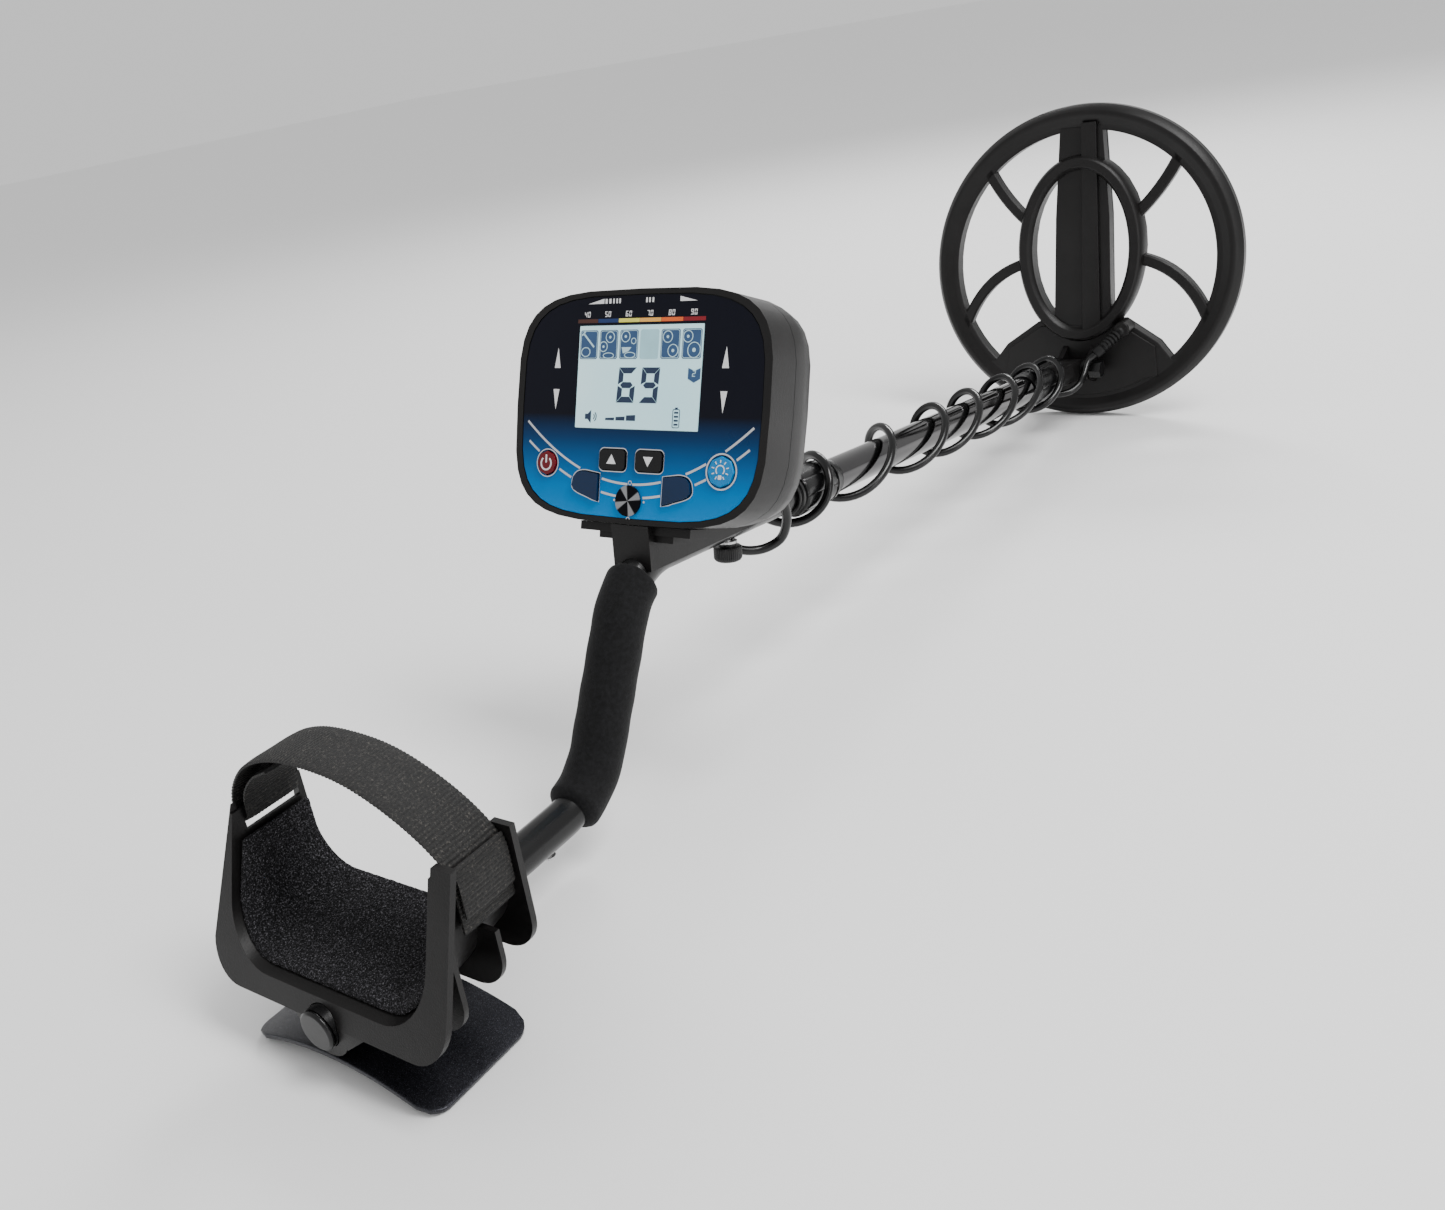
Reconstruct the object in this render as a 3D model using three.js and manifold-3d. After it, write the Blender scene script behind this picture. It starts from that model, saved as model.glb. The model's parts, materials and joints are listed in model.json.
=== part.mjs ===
// A hand-held metal detector standing on its armrest foot and the edge of its search coil.
// Millimetres. +X is the user's right, +Y runs forward along the shaft, +Z is up.
import * as THREE from "three";
import { mergeVertices } from "three/addons/utils/BufferGeometryUtils.js";
import Module from "manifold-3d";

const wasm = await Module();
wasm.setup();

// ---------------------------------------------------------------- driving dimensions
const ORIGIN_Y = 462.9; // from the tube's rear end cap to the middle of the whole length
const GAP = 0.3; // clearance between pieces that touch on the real object

// Bent upper tube, in the plane X = 0: [y, z] of its corners and the radius of its bends.
const TUBE_R = 9.5;
const TUBE_WALL = 1.2;
const TUBE_CORNERS = [
  [2.5, 27.5],
  [187, 29.5],
  [248.5, 128.6],
];
const BEND_R = 45;
const SHAFT_SLOPE = degrees(-7.46);
const GRIP = { r: 14, from: 168, to: 294 };

// Distances along the shaft are from the upper tube's last corner.
const UPPER_TUBE_END = 369.6;
const MID_TUBE = { r: 10.9, wall: 1.1, from: 168, to: 549 };
const COLLAR = { r: 14, bore: 9.9, seat: 12.5 };
const BUSH_R = 12.2;
const ROD = { r: 9.5, wall: 1.6, from: 374.6, shoulder: 576, neck: 616, endR: 10.4 };
const HINGE_AT = 640;

// Armrest: a U channel whose floor climbs forward, with a clamp boss round the tube.
const CRADLE = { half: 61, floor: 36, top: 100, corner: 26.5, wall: 2.5, near: 4, far: 68, climb: 0.21 };
const FRAME = { half: 70, drop: 6.5, corner: 17, top: 104 };
const BOSS = { r: 14.5, z: 27.6, to: 27 };
const PAD = { thick: 3.4, top: 88, far: 66.4 };
const STRAP = { near: 35, far: 64.6, thick: 2.4 };
const SLOT = { z: 92, height: 5 };
const STAND = { half: 56, near: 4, far: 66, rise: 12.6, thick: 2.4, screwY: 17 };

// Control box. Its frame has +X right, +Y up the panel and +Z out of it, from the display's centre.
const BOX_AT = [0, 280.8, 215.8];
const BOX_LEAN = degrees(68.6);
const PANEL = { x: 77, y: 57.5, cy: -14.8, power: 4 };
const BOX = { face: 1.2, floor: -2.2, seam: -20, back: -46, bevel: 18, inset: 13, wall: 2.4 };
const LCD = { w: 75.4, h: 50.8 };
const KEY = { top: 2.6, flange: -4.9 };
const SCREWS = [
  [50, 21],
  [-50, 21],
  [44, -54],
  [-44, -54],
];
const SOCKET = [25, -46]; // where the cable leaves the box
const KNOB_AT = 90.3;

// Search coil. Its frame has +X right, +Y away from the hinge and +Z towards the shaft.
const COIL_LEAN = degrees(86.5);
const HINGE_HEIGHT = 22;
const HINGE_TO_CENTRE = 83.24;
const RIM = { out: 127, in: 107.5 };
const OVAL = { x: 52, y: 76, cy: 12.6, width: 12, top: 10 };
const COIL_BACK = -6;
const EAR = { x: 9.8, thick: 4.4, r: 9 };
const GLAND = { boss: [38, -52, 12], tip: [20, -70, 27], r: 5, bossR: 6.5 };

// Search coil cable: its radius, the winding's radius and where each half turn crosses the shaft.
const CABLE_R = 2.7;
const WINDING_R = 17.3;
const HALF_TURNS = [160, 191, 227, 282, 309, 361, 366, 421, 430, 487, 478, 542, 539, 581];
const CABLE_TAIL = [
  [25.3, 334, 144],
  [25.5, 350, 134.5],
  [24.5, 360.5, 122.5],
  [20.5, 367, 107],
  [14, 368, 96],
  [6, 360.5, 92.5],
  [-3, 351.5, 95.5],
  [-11, 350, 102],
  [-16, 358, 109.5],
  [-17.3, 371, 112.5],
];
const CABLE_LEAD = [
  [-12.5, 828, 63.5],
  [-15.5, 832, 51.5],
  [-9.5, 838, 40],
  [0, 843, 35.5],
  [9, 849, 36],
  [14, 857, 40],
  [15, 865, 45],
];

const BLACK = 0x141416;
const CHARCOAL = 0x1d1d1f;
const FOAM = 0x151417;
const STEEL = 0xb8babd;
const GLOSS = 0x08080a;

// ---------------------------------------------------------------- solids
function degrees(angle) {
  return THREE.MathUtils.degToRad(angle);
}

function solid(geometry, matrix) {
  const g = geometry.clone();
  g.deleteAttribute("normal");
  g.deleteAttribute("uv");
  if (matrix) g.applyMatrix4(matrix);
  const merged = mergeVertices(g, 1e-4);
  const vertProperties = merged.attributes.position.array;
  const triVerts = new Uint32Array(merged.index.array);
  return new wasm.Manifold(new wasm.Mesh({ numProp: 3, vertProperties, triVerts }));
}

function geometryOf(body) {
  const mesh = body.getMesh();
  const g = new THREE.BufferGeometry();
  g.setAttribute("position", new THREE.BufferAttribute(mesh.vertProperties, 3));
  g.setIndex(new THREE.BufferAttribute(mesh.triVerts, 1));
  g.computeVertexNormals();
  return g;
}

const join = (...bodies) => bodies.reduce((a, b) => a.add(b));
const cut = (body, ...tools) => tools.reduce((a, b) => a.subtract(b), body);
const shift = (x, y, z) => new THREE.Matrix4().makeTranslation(x, y, z);
const basis = (x, y, z) => new THREE.Matrix4().makeBasis(x, y, z);
const EX = new THREE.Vector3(1, 0, 0);
const EY = new THREE.Vector3(0, 1, 0);
const EZ = new THREE.Vector3(0, 0, 1);
const ALONG_X = basis(EY, EZ, EX); // a shape drawn in (y, z) and extruded along +X
const ALONG_Y = basis(EX, EZ, EY.clone().negate()); // a shape drawn in (x, z) and extruded along -Y

function block(w, d, h, x = 0, y = 0, z = 0) {
  return solid(new THREE.BoxGeometry(w, d, h), shift(x, y, z));
}

// A turned body about local Z from [radius, z] points.
function turned(points, sides = 32, matrix = new THREE.Matrix4()) {
  const profile = points.map(([r, z]) => new THREE.Vector2(r, z));
  const upright = new THREE.Matrix4().makeRotationX(Math.PI / 2);
  return solid(new THREE.LatheGeometry(profile, sides), matrix.clone().multiply(upright));
}

function bar(r, z0, z1, sides = 20, matrix = undefined) {
  return turned([[0, z0], [r, z0], [r, z1], [0, z1]], sides, matrix);
}

function ring(rOut, rIn, z0, z1, sides = 20, matrix = undefined) {
  return turned([[rIn, z0], [rOut, z0], [rOut, z1], [rIn, z1], [rIn, z0]], sides, matrix);
}

function prism(shape, z0, z1, matrix = new THREE.Matrix4(), curveSegments = 12) {
  const options = { depth: z1 - z0, bevelEnabled: false, curveSegments };
  return solid(new THREE.ExtrudeGeometry(shape, options), matrix.clone().multiply(shift(0, 0, z0)));
}

// An outline drawn in (x, z), extruded between two values of y.
function slabY(shape, y0, y1, matrix = new THREE.Matrix4()) {
  return prism(shape, 0, y1 - y0, matrix.clone().multiply(shift(0, y1, 0)).multiply(ALONG_Y), 5);
}

function polygon(points) {
  return new THREE.Shape(points.map(([x, y]) => new THREE.Vector2(x, y)));
}

function regular(r, sides) {
  const spoke = (i) => [r * Math.cos((i / sides) * 2 * Math.PI), r * Math.sin((i / sides) * 2 * Math.PI)];
  return polygon([...Array(sides).keys()].map(spoke));
}

function ellipse(a, b, x = 0, y = 0) {
  const shape = new THREE.Shape();
  shape.absellipse(x, y, a, b, 0, 2 * Math.PI, false);
  return shape;
}

// The outline |x/a|^p + |y/b|^p = 1 round (0, cy).
function superellipse(a, b, cy = PANEL.cy, power = PANEL.power, count = 36) {
  const points = [];
  for (let i = 0; i < count; i++) {
    const t = (i / count) * 2 * Math.PI;
    const x = Math.sign(Math.cos(t)) * Math.abs(Math.cos(t)) ** (2 / power) * a;
    const y = Math.sign(Math.sin(t)) * Math.abs(Math.sin(t)) ** (2 / power) * b;
    points.push([x, cy + y]);
  }
  return polygon(points);
}

function roundedRect(w, h, r, x = 0, y = 0) {
  const s = new THREE.Shape();
  s.absarc(x + w / 2 - r, y + h / 2 - r, r, 0, Math.PI / 2);
  s.absarc(x - w / 2 + r, y + h / 2 - r, r, Math.PI / 2, Math.PI);
  s.absarc(x - w / 2 + r, y - h / 2 + r, r, Math.PI, 1.5 * Math.PI);
  s.absarc(x + w / 2 - r, y - h / 2 + r, r, 1.5 * Math.PI, 2 * Math.PI);
  s.closePath();
  return s;
}

// A flat ribbon of even width along a smooth line through points.
function ribbon(points, width, steps) {
  const line = new THREE.SplineCurve(points.map(([x, y]) => new THREE.Vector2(x, y)));
  const sides = [[], []];
  for (let i = 0; i <= steps; i++) {
    const p = line.getPointAt(i / steps);
    const t = line.getTangentAt(i / steps);
    sides[0].push([p.x + (t.y * width) / 2, p.y - (t.x * width) / 2]);
    sides[1].unshift([p.x - (t.y * width) / 2, p.y + (t.x * width) / 2]);
  }
  return polygon(sides.flat());
}

// A route whose rings stand at chosen stations, each with its own point and direction.
class Route extends THREE.Curve {
  constructor(stations) {
    super();
    this.stations = stations;
  }
  station(t) {
    return this.stations[Math.round(t * (this.stations.length - 1))];
  }
  getPoint(t) {
    return this.station(t)[0].clone();
  }
  getPointAt(t) {
    return this.getPoint(t);
  }
  getTangentAt(t) {
    return this.station(t)[1].clone();
  }
}

function sweep(route, r, sides) {
  const steps = route.stations.length - 1;
  const options = { extrudePath: route, steps, bevelEnabled: false };
  return solid(new THREE.ExtrudeGeometry(regular(r, sides), options));
}

function straight(from, to) {
  const way = to.clone().sub(from);
  const length = way.length();
  way.normalize();
  return { length, cuts: 1, at: (s) => [from.clone().addScaledVector(way, s), way] };
}

function bend(enter, before, after, radius) {
  const angle = before.angleTo(after);
  const inward = after.clone().addScaledVector(before, -before.dot(after)).normalize();
  const centre = enter.clone().addScaledVector(inward, radius);
  const at = (s) => {
    const [c, d] = [Math.cos(s / radius), Math.sin(s / radius)];
    const point = centre.clone().addScaledVector(inward, -radius * c).addScaledVector(before, radius * d);
    return [point, before.clone().multiplyScalar(c).addScaledVector(inward, d)];
  };
  return { length: radius * angle, cuts: Math.ceil(angle / degrees(12)), at };
}

// ---------------------------------------------------------------- frames
const corner = new THREE.Vector3(0, ...TUBE_CORNERS[2]);
const shaftDir = new THREE.Vector3(0, Math.cos(SHAFT_SLOPE), Math.sin(SHAFT_SLOPE));
const shaftUp = new THREE.Vector3(0, -Math.sin(SHAFT_SLOPE), Math.cos(SHAFT_SLOPE));
const SHAFT = basis(shaftUp.clone().cross(shaftDir), shaftUp, shaftDir).setPosition(corner);
const onShaft = (s) => corner.clone().addScaledVector(shaftDir, s);
const hinge = onShaft(HINGE_AT);

const PANEL_FRAME = new THREE.Matrix4().makeRotationX(BOX_LEAN).setPosition(...BOX_AT);

const coilUp = new THREE.Vector3(0, Math.cos(COIL_LEAN), Math.sin(COIL_LEAN));
const coilOut = EX.clone().cross(coilUp);
const coilCentre = hinge.clone()
  .addScaledVector(coilUp, HINGE_TO_CENTRE)
  .addScaledVector(coilOut, -HINGE_HEIGHT);
const COIL = basis(EX, coilUp, coilOut).setPosition(coilCentre);
const onCoil = (p) => new THREE.Vector3(...p).applyMatrix4(COIL);

// An axis along X through the coil's hinge, for the bolt and what is on it.
const CROSS = basis(EY, EZ, EX).setPosition(hinge);
// An axis across the shaft at the bracket's screw, pointing up.
const SCREW_AXIS = basis(EX, shaftDir, shaftUp).setPosition(onShaft(KNOB_AT));

const root = new THREE.Group();
const assembly = new THREE.Group();
assembly.position.y = -ORIGIN_Y;
root.add(assembly);

function add(name, body, color, roughness = 0.6, metalness = 0) {
  const material = new THREE.MeshStandardMaterial({ color, roughness, metalness });
  const mesh = new THREE.Mesh(geometryOf(body), material);
  mesh.name = name;
  assembly.add(mesh);
}

// ---------------------------------------------------------------- upper tube, grip and cap
function tubePieces() {
  const corners = [...TUBE_CORNERS.map(([y, z]) => new THREE.Vector3(0, y, z)), onShaft(UPPER_TUBE_END)];
  const pieces = [];
  let start = corners[0];
  for (let i = 1; i < corners.length - 1; i++) {
    const before = corners[i].clone().sub(corners[i - 1]).normalize();
    const after = corners[i + 1].clone().sub(corners[i]).normalize();
    const run = BEND_R * Math.tan(before.angleTo(after) / 2);
    const enter = corners[i].clone().addScaledVector(before, -run);
    pieces.push(straight(start, enter), bend(enter, before, after, BEND_R));
    start = corners[i].clone().addScaledVector(after, run);
  }
  pieces.push(straight(start, corners.at(-1)));
  return pieces;
}

// The tube's centreline between two lengths along it; either may lie past its ends.
function tubeRoute(from, to) {
  const pieces = tubePieces();
  const stations = [];
  let start = 0;
  pieces.forEach((piece, i) => {
    const low = i === 0 ? from : Math.max(from, start);
    const high = i === pieces.length - 1 ? to : Math.min(to, start + piece.length);
    if (high > low) {
      const first = stations.length ? 1 : 0;
      for (let k = first; k <= piece.cuts; k++) {
        stations.push(piece.at(low - start + ((high - low) * k) / piece.cuts));
      }
    }
    start += piece.length;
  });
  return new Route(stations);
}
const TUBE_LENGTH = tubePieces().reduce((sum, piece) => sum + piece.length, 0);

function upperTube() {
  const outer = sweep(tubeRoute(0, TUBE_LENGTH), TUBE_R, 20);
  const inner = sweep(tubeRoute(-2, TUBE_LENGTH + 2), TUBE_R - TUBE_WALL, 20);
  const screwHole = bar(2.6, -15, 15, 16, SCREW_AXIS);
  const rivetHole = bar(1.9, 10, 26, 12, shift(0, 150, 0));
  return cut(outer, inner, screwHole, rivetHole);
}
add("upper_tube", upperTube(), BLACK, 0.3, 0.4);

const gripBody = sweep(tubeRoute(GRIP.from, GRIP.to), GRIP.r, 20);
const gripBore = sweep(tubeRoute(GRIP.from - 2, GRIP.to + 2), TUBE_R + 2 * GAP, 20);
add("grip_foam", cut(gripBody, gripBore), FOAM, 0.95);

const CAP_FRAME = basis(EX, EZ.clone().negate(), EY).setPosition(0, 0, TUBE_CORNERS[0][1]);
const CAP_PROFILE = [[0, 0], [8.4, 0], [9.4, 0.8], [9.4, 2.1], [7.9, 2.1], [7.9, 9], [0, 9]];
add("tube_end_cap", turned(CAP_PROFILE, 24, CAP_FRAME), BLACK);
const RIVET_PROFILE = [[0, 15.6], [2.4, 15.8], [3.6, 17.2], [3.6, 17.6], [1.6, 17.6], [1.6, 24], [0, 24]];
const RIVET_Y = 150;
add("tube_rivet", turned(RIVET_PROFILE, 16, shift(0, RIVET_Y, 0)), STEEL, 0.3, 1);

// ---------------------------------------------------------------- armrest
// A U open at its top, between an outer and an inner outline with round bottom corners.
function channel(half, floor, radius, innerHalf, innerFloor, innerRadius, top) {
  const s = new THREE.Shape();
  s.moveTo(-half, top);
  s.absarc(-half + radius, floor + radius, radius, Math.PI, 1.5 * Math.PI, false);
  s.absarc(half - radius, floor + radius, radius, -Math.PI / 2, 0, false);
  s.lineTo(half, top);
  s.lineTo(innerHalf, top);
  s.absarc(innerHalf - innerRadius, innerFloor + innerRadius, innerRadius, 0, -Math.PI / 2, true);
  s.absarc(-innerHalf + innerRadius, innerFloor + innerRadius, innerRadius, -Math.PI / 2, -Math.PI, true);
  s.lineTo(-innerHalf, top);
  s.closePath();
  return s;
}

// Shears z with y, so that the channel's floor climbs forward from its near end.
function climbing() {
  const m = new THREE.Matrix4();
  m.elements[6] = CRADLE.climb;
  return shift(0, CRADLE.near, 0).multiply(m).multiply(shift(0, -CRADLE.near, 0));
}

// Shears y with z, so that the near frame's top leans forward.
function leaning() {
  const m = new THREE.Matrix4();
  m.elements[9] = Math.tan(degrees(20));
  const foot = CRADLE.floor - FRAME.drop;
  return shift(0, 0, foot).multiply(m).multiply(shift(0, 0, -foot));
}

const behindFrame = (y) => slabY(polygon([[-90, 0], [90, 0], [90, 160], [-90, 160]]), y - 90, y, leaning());

function rib(y0, y1, top, matrix = undefined) {
  const lift = matrix ? 0 : CRADLE.climb * ((y0 + y1) / 2 - CRADLE.near);
  const { half, corner: r } = FRAME;
  const [inner, innerR] = [CRADLE.half - 1.4, CRADLE.corner - 1.4];
  const floor = CRADLE.floor + lift;
  return slabY(channel(half, floor - FRAME.drop, r, inner, floor + 1.2, innerR, top), y0, y1, matrix);
}

function cradle() {
  const { half, floor, corner: r, wall, near, far, top } = CRADLE;
  const skinOutline = channel(half, floor, r, half - wall, floor + wall, r - wall, top + 30);
  const skin = slabY(skinOutline, near - 10, far, climbing());
  const nearRib = rib(near, near + 3.4, FRAME.top, leaning());
  const ribs = join(nearRib, rib(21, 23.6, 84), rib(45, 47.6, 68), rib(64.9, far, FRAME.top));
  const trimmed = cut(skin, block(200, 200, 80, 0, 40, top + 40));
  const boss = bar(BOSS.r, near, BOSS.to, 32, basis(EX, EZ.clone().negate(), EY).setPosition(0, 0, BOSS.z));
  const gusset = slabY(polygon([[-18, 36], [-14, 24], [13, 20], [26, 30], [26, 36]]), near, near + 5);
  const body = join(trimmed, ribs, boss, gusset);
  const arm = slabY(channelFill(half - wall, floor + wall, r - wall), -40, 120, climbing());
  const slotLength = STRAP.far - STRAP.near + 0.4;
  const slot = block(200, slotLength, SLOT.height, 0, (STRAP.far + STRAP.near) / 2, SLOT.z);
  const bore = sweep(tubeRoute(-4, 120), TUBE_R + GAP, 32);
  const screwHole = bar(2.2, 0, 20, 16, shift(0, STAND.screwY, 0));
  const underside = block(60, 60, 20, 0, 20, STAND.rise + GAP - 10);
  return cut(body, behindFrame(near), arm, slot, bore, screwHole, underside);
}

function channelFill(half, floor, radius) {
  const s = new THREE.Shape();
  s.moveTo(-half, 200);
  s.absarc(-half + radius, floor + radius, radius, Math.PI, 1.5 * Math.PI, false);
  s.absarc(half - radius, floor + radius, radius, -Math.PI / 2, 0, false);
  s.lineTo(half, 200);
  s.closePath();
  return s;
}
add("armrest_cradle", cradle(), CHARCOAL, 0.5);

function pad() {
  const half = CRADLE.half - CRADLE.wall - 0.4;
  const floor = CRADLE.floor + CRADLE.wall + 0.4;
  const r = CRADLE.corner - CRADLE.wall - 0.4;
  const t = PAD.thick;
  const body = slabY(channel(half, floor, r, half - t, floor + t, r - t, 130), 0, PAD.far, climbing());
  return cut(body, behindFrame(CRADLE.near + 3.9), block(200, 200, 80, 0, 40, PAD.top + 40));
}
add("armrest_pad", pad(), FOAM, 1);

const STRAP_LINE = [
  [-64.4, 86],
  [-64.6, 98],
  [-60, 110],
  [-48, 122],
  [-28, 129.5],
  [0, 130.5],
  [20, 127],
  [42, 117.5],
  [57, 107],
  [63.6, 99],
  [64.6, 88],
  [64.6, 72],
];
add("armrest_strap", slabY(ribbon(STRAP_LINE, STRAP.thick, 36), STRAP.near, STRAP.far), BLACK, 0.95);

// An arched plate whose long edges stand on the ground.
function standPlate() {
  const { half, rise, thick, near, far } = STAND;
  const low = rise - thick;
  const under = (half * half + low * low) / (2 * low);
  const sweepAngle = Math.asin(half / under);
  const s = new THREE.Shape();
  s.absarc(0, low - under, under + thick, Math.PI / 2 - sweepAngle, Math.PI / 2 + sweepAngle, false);
  s.absarc(0, low - under, under, Math.PI / 2 + sweepAngle, Math.PI / 2 - sweepAngle, true);
  s.closePath();
  const arch = slabY(s, near, far);
  const shape = roundedRect(2 * half + 10, far - near, 10, 0, (near + far) / 2);
  const outline = prism(shape, -5, 30, undefined, 5);
  const hole = bar(2.2, 0, 20, 16, shift(0, STAND.screwY, 0));
  return cut(arch.intersect(outline), hole, block(200, 200, 20, 0, 30, -10));
}
add("stand_plate", standPlate(), BLACK, 0.35, 0.5);
const STAND_SCREW = [[0, 7.8], [3, 7.8], [4, 9], [4, 9.9], [1.8, 9.9], [1.8, 17.3], [0, 17.3]];
add("stand_screw", turned(STAND_SCREW, 16, shift(0, STAND.screwY, 0)), STEEL, 0.3, 1);

// ---------------------------------------------------------------- control box
// The whole box's outside, grown by a margin: straight walls with a rounded back.
function envelope(grow, front = BOX.face) {
  const back = BOX.back - grow;
  const shape = superellipse(PANEL.x + grow, PANEL.y + grow);
  const options = {
    depth: 60,
    bevelThickness: BOX.bevel,
    bevelSize: BOX.inset,
    bevelOffset: -BOX.inset,
    bevelSegments: 3,
  };
  const place = PANEL_FRAME.clone().multiply(shift(0, 0, back + BOX.bevel));
  const body = solid(new THREE.ExtrudeGeometry(shape, options), place);
  return cut(body, inPanel(block(300, 300, 100, 0, 0, front + 50)));
}

function inPanel(body) {
  const mesh = geometryOf(body);
  return solid(mesh, PANEL_FRAME);
}

const onPanel = (shape, z0, z1, segments) => prism(shape, z0, z1, PANEL_FRAME, segments);
function panelBar(r, z0, z1, x, y, sides = 12) {
  return bar(r, z0, z1, sides, PANEL_FRAME.clone().multiply(shift(x, y, 0)));
}

// Each key: its outline grown by a margin, in the panel's frame.
const leaf = (side) => (grow) => {
  const [w, h] = [8.2 + grow, 7.2 + grow];
  const [x, y] = [side * 28.3, -54.4];
  const s = new THREE.Shape();
  s.moveTo(x + side * w, y);
  s.bezierCurveTo(x + side * w, y + h, x + side * w * 0.4, y + h, x, y + h);
  s.lineTo(x - side * w, y + h * 0.86);
  s.lineTo(x - side * w, y - h);
  s.lineTo(x - side * w * 0.5, y - h * 0.86);
  s.bezierCurveTo(x, y - h * 0.6, x + side * w, y - h * 0.5, x + side * w, y);
  s.closePath();
  return s;
};
const KEYS = {
  key_power: (grow) => ellipse(6.2 + grow, 6.2 + grow, -54, -44),
  key_light: (grow) => ellipse(7.4 + grow, 7.4 + grow, 53, -43.7),
  key_up: (grow) => roundedRect(15.6 + 2 * grow, 10 + 2 * grow, 2 + grow, -11.6, -40.7),
  key_down: (grow) => roundedRect(15.6 + 2 * grow, 10 + 2 * grow, 2 + grow, 10.8, -40.7),
  key_sensitivity: leaf(-1),
  key_mode: leaf(1),
};

function keyHoles(z0, z1) {
  return Object.values(KEYS).map((outline) => onPanel(outline(0.5), z0, z1, 4));
}

function boxFront() {
  const shell = cut(envelope(0), inPanel(block(300, 300, 100, 0, 0, BOX.seam - 50)));
  const inner = superellipse(PANEL.x - BOX.wall, PANEL.y - BOX.wall);
  const cavity = onPanel(inner, BOX.seam - 1, BOX.floor);
  const recess = onPanel(superellipse(72.9, 54.9), 0.1, 5);
  const display = onPanel(roundedRect(LCD.w + 0.8, LCD.h + 0.8, 0.8), -8, 5, 2);
  const posts = SCREWS.map(([x, y]) => panelBar(3.6, -18.2, BOX.floor + 0.1, x, y, 16));
  const holes = SCREWS.map(([x, y]) => panelBar(1.8, -19, -6, x, y));
  return cut(join(cut(shell, cavity), ...posts), recess, display, ...keyHoles(-8, 5), ...holes);
}
add("box_front", boxFront(), CHARCOAL, 0.45);

function boxBack() {
  const half = inPanel(block(300, 300, 100, 0, 0, BOX.seam + 50 - GAP));
  const shell = cut(envelope(0, 5), half);
  const hollow = cut(envelope(-BOX.wall, 5), inPanel(block(300, 300, 10, 0, 0, 80)));
  const posts = SCREWS.map(([x, y]) => panelBar(4.4, BOX.back + 1, -18.8, x, y, 16));
  const bores = SCREWS.map(([x, y]) => panelBar(1.8, BOX.back - 2, -18, x, y));
  const sinks = SCREWS.map(([x, y]) => panelBar(3.5, BOX.back - 2, -43.6, x, y, 16));
  const hatch = onPanel(roundedRect(104, 30, 3, 0, PANEL.cy), BOX.back - 2, -40, 4);
  const grille = [0, 1, 2, 3, 4, 5].map((i) => {
    const [c, s] = [Math.cos((i * Math.PI) / 3), Math.sin((i * Math.PI) / 3)];
    return panelBar(1.3, BOX.back - 2, -41, 6 * c, 15 + 6 * s, 8);
  });
  const socketHole = panelBar(4.5, BOX.back - 2, -40, ...SOCKET, 16);
  return cut(join(cut(shell, hollow), ...posts), ...bores, ...sinks, hatch, ...grille, socketHole);
}
add("box_back", boxBack(), CHARCOAL, 0.5);

function overlay() {
  const sheet = onPanel(superellipse(72.5, 54.5), 0.4, 0.9);
  return cut(sheet, onPanel(roundedRect(LCD.w + 0.4, LCD.h + 0.4, 0.6), -1, 3, 2), ...keyHoles(-1, 3));
}
add("panel_overlay", overlay(), 0x0a4f86, 0.35);
add("lcd_window", onPanel(roundedRect(LCD.w - 0.2, LCD.h - 0.2, 0.5), -1.8, 0.8, 2), 0xcfe6ea, 0.1);
add("lcd_module", inPanel(block(84, 60, 3.4, 0, 0, -4.4)), 0x9fb3b5, 0.4);
const KEYPAD_GREY = 0x3a3a3e;
const BOARD_GREEN = 0x1c5a38;
const PILLAR_CLEARANCE = 4.2;
const keypadPillars = SCREWS.map(([x, y]) => panelBar(PILLAR_CLEARANCE, -9, -5, x, y));
const boardPillars = SCREWS.map(([x, y]) => panelBar(PILLAR_CLEARANCE, -12, -8, x, y));
const keypadBlank = onPanel(superellipse(70, 51), -7.6, -5.8);
const aboveKeypad = inPanel(block(200, 120, 8, 0, 27, -6.5));
add("keypad_sheet", cut(keypadBlank, aboveKeypad, ...keypadPillars), KEYPAD_GREY, 0.8);
const boardBlank = inPanel(block(120, 84, 1.6, 0, PANEL.cy, -9.9));
add("circuit_board", cut(boardBlank, ...boardPillars), BOARD_GREEN, 0.5);
for (const [name, outline] of Object.entries(KEYS)) {
  const key = join(onPanel(outline(0), -3, KEY.top, 4), onPanel(outline(1.1), KEY.flange, -2.6, 4));
  add(name, key, name === "key_power" ? 0x7d1117 : 0x10263d, 0.4);
}
add("badge", panelBar(7.7, 1.2, 2.2, -0.5, -60.6, 32), STEEL, 0.3, 1);
add("speaker", panelBar(11.5, -42.8, -37, 0, 15, 24), 0x222222, 0.7);
for (const [name, x] of [["battery_left", -27], ["battery_right", 27]]) {
  add(name, inPanel(block(48.5, 26.5, 16.5, x, PANEL.cy, -33)), 0x6b6b6e, 0.5, 0.3);
}
const doorOutline = roundedRect(110, 35, 4, 0, PANEL.cy);
add("battery_door", onPanel(doorOutline, BOX.back - 2.3, BOX.back - GAP, 4), CHARCOAL, 0.5);
SCREWS.forEach(([x, y], i) => {
  const matrix = PANEL_FRAME.clone().multiply(shift(x, y, 0));
  const shape = [[0, -46], [3.1, -46], [3.1, -44], [1.5, -43.9], [1.5, -8], [0, -8]];
  add(`case_screw_${i + 1}`, turned(shape, 12, matrix), STEEL, 0.3, 1);
});
const socket = [[0, -52.5], [3, -52.5], [4.1, -51], [4.1, -41.5], [0, -41.5]];
add("cable_socket", turned(socket, 16, PANEL_FRAME.clone().multiply(shift(...SOCKET, 0))), BLACK, 0.5);

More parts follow.
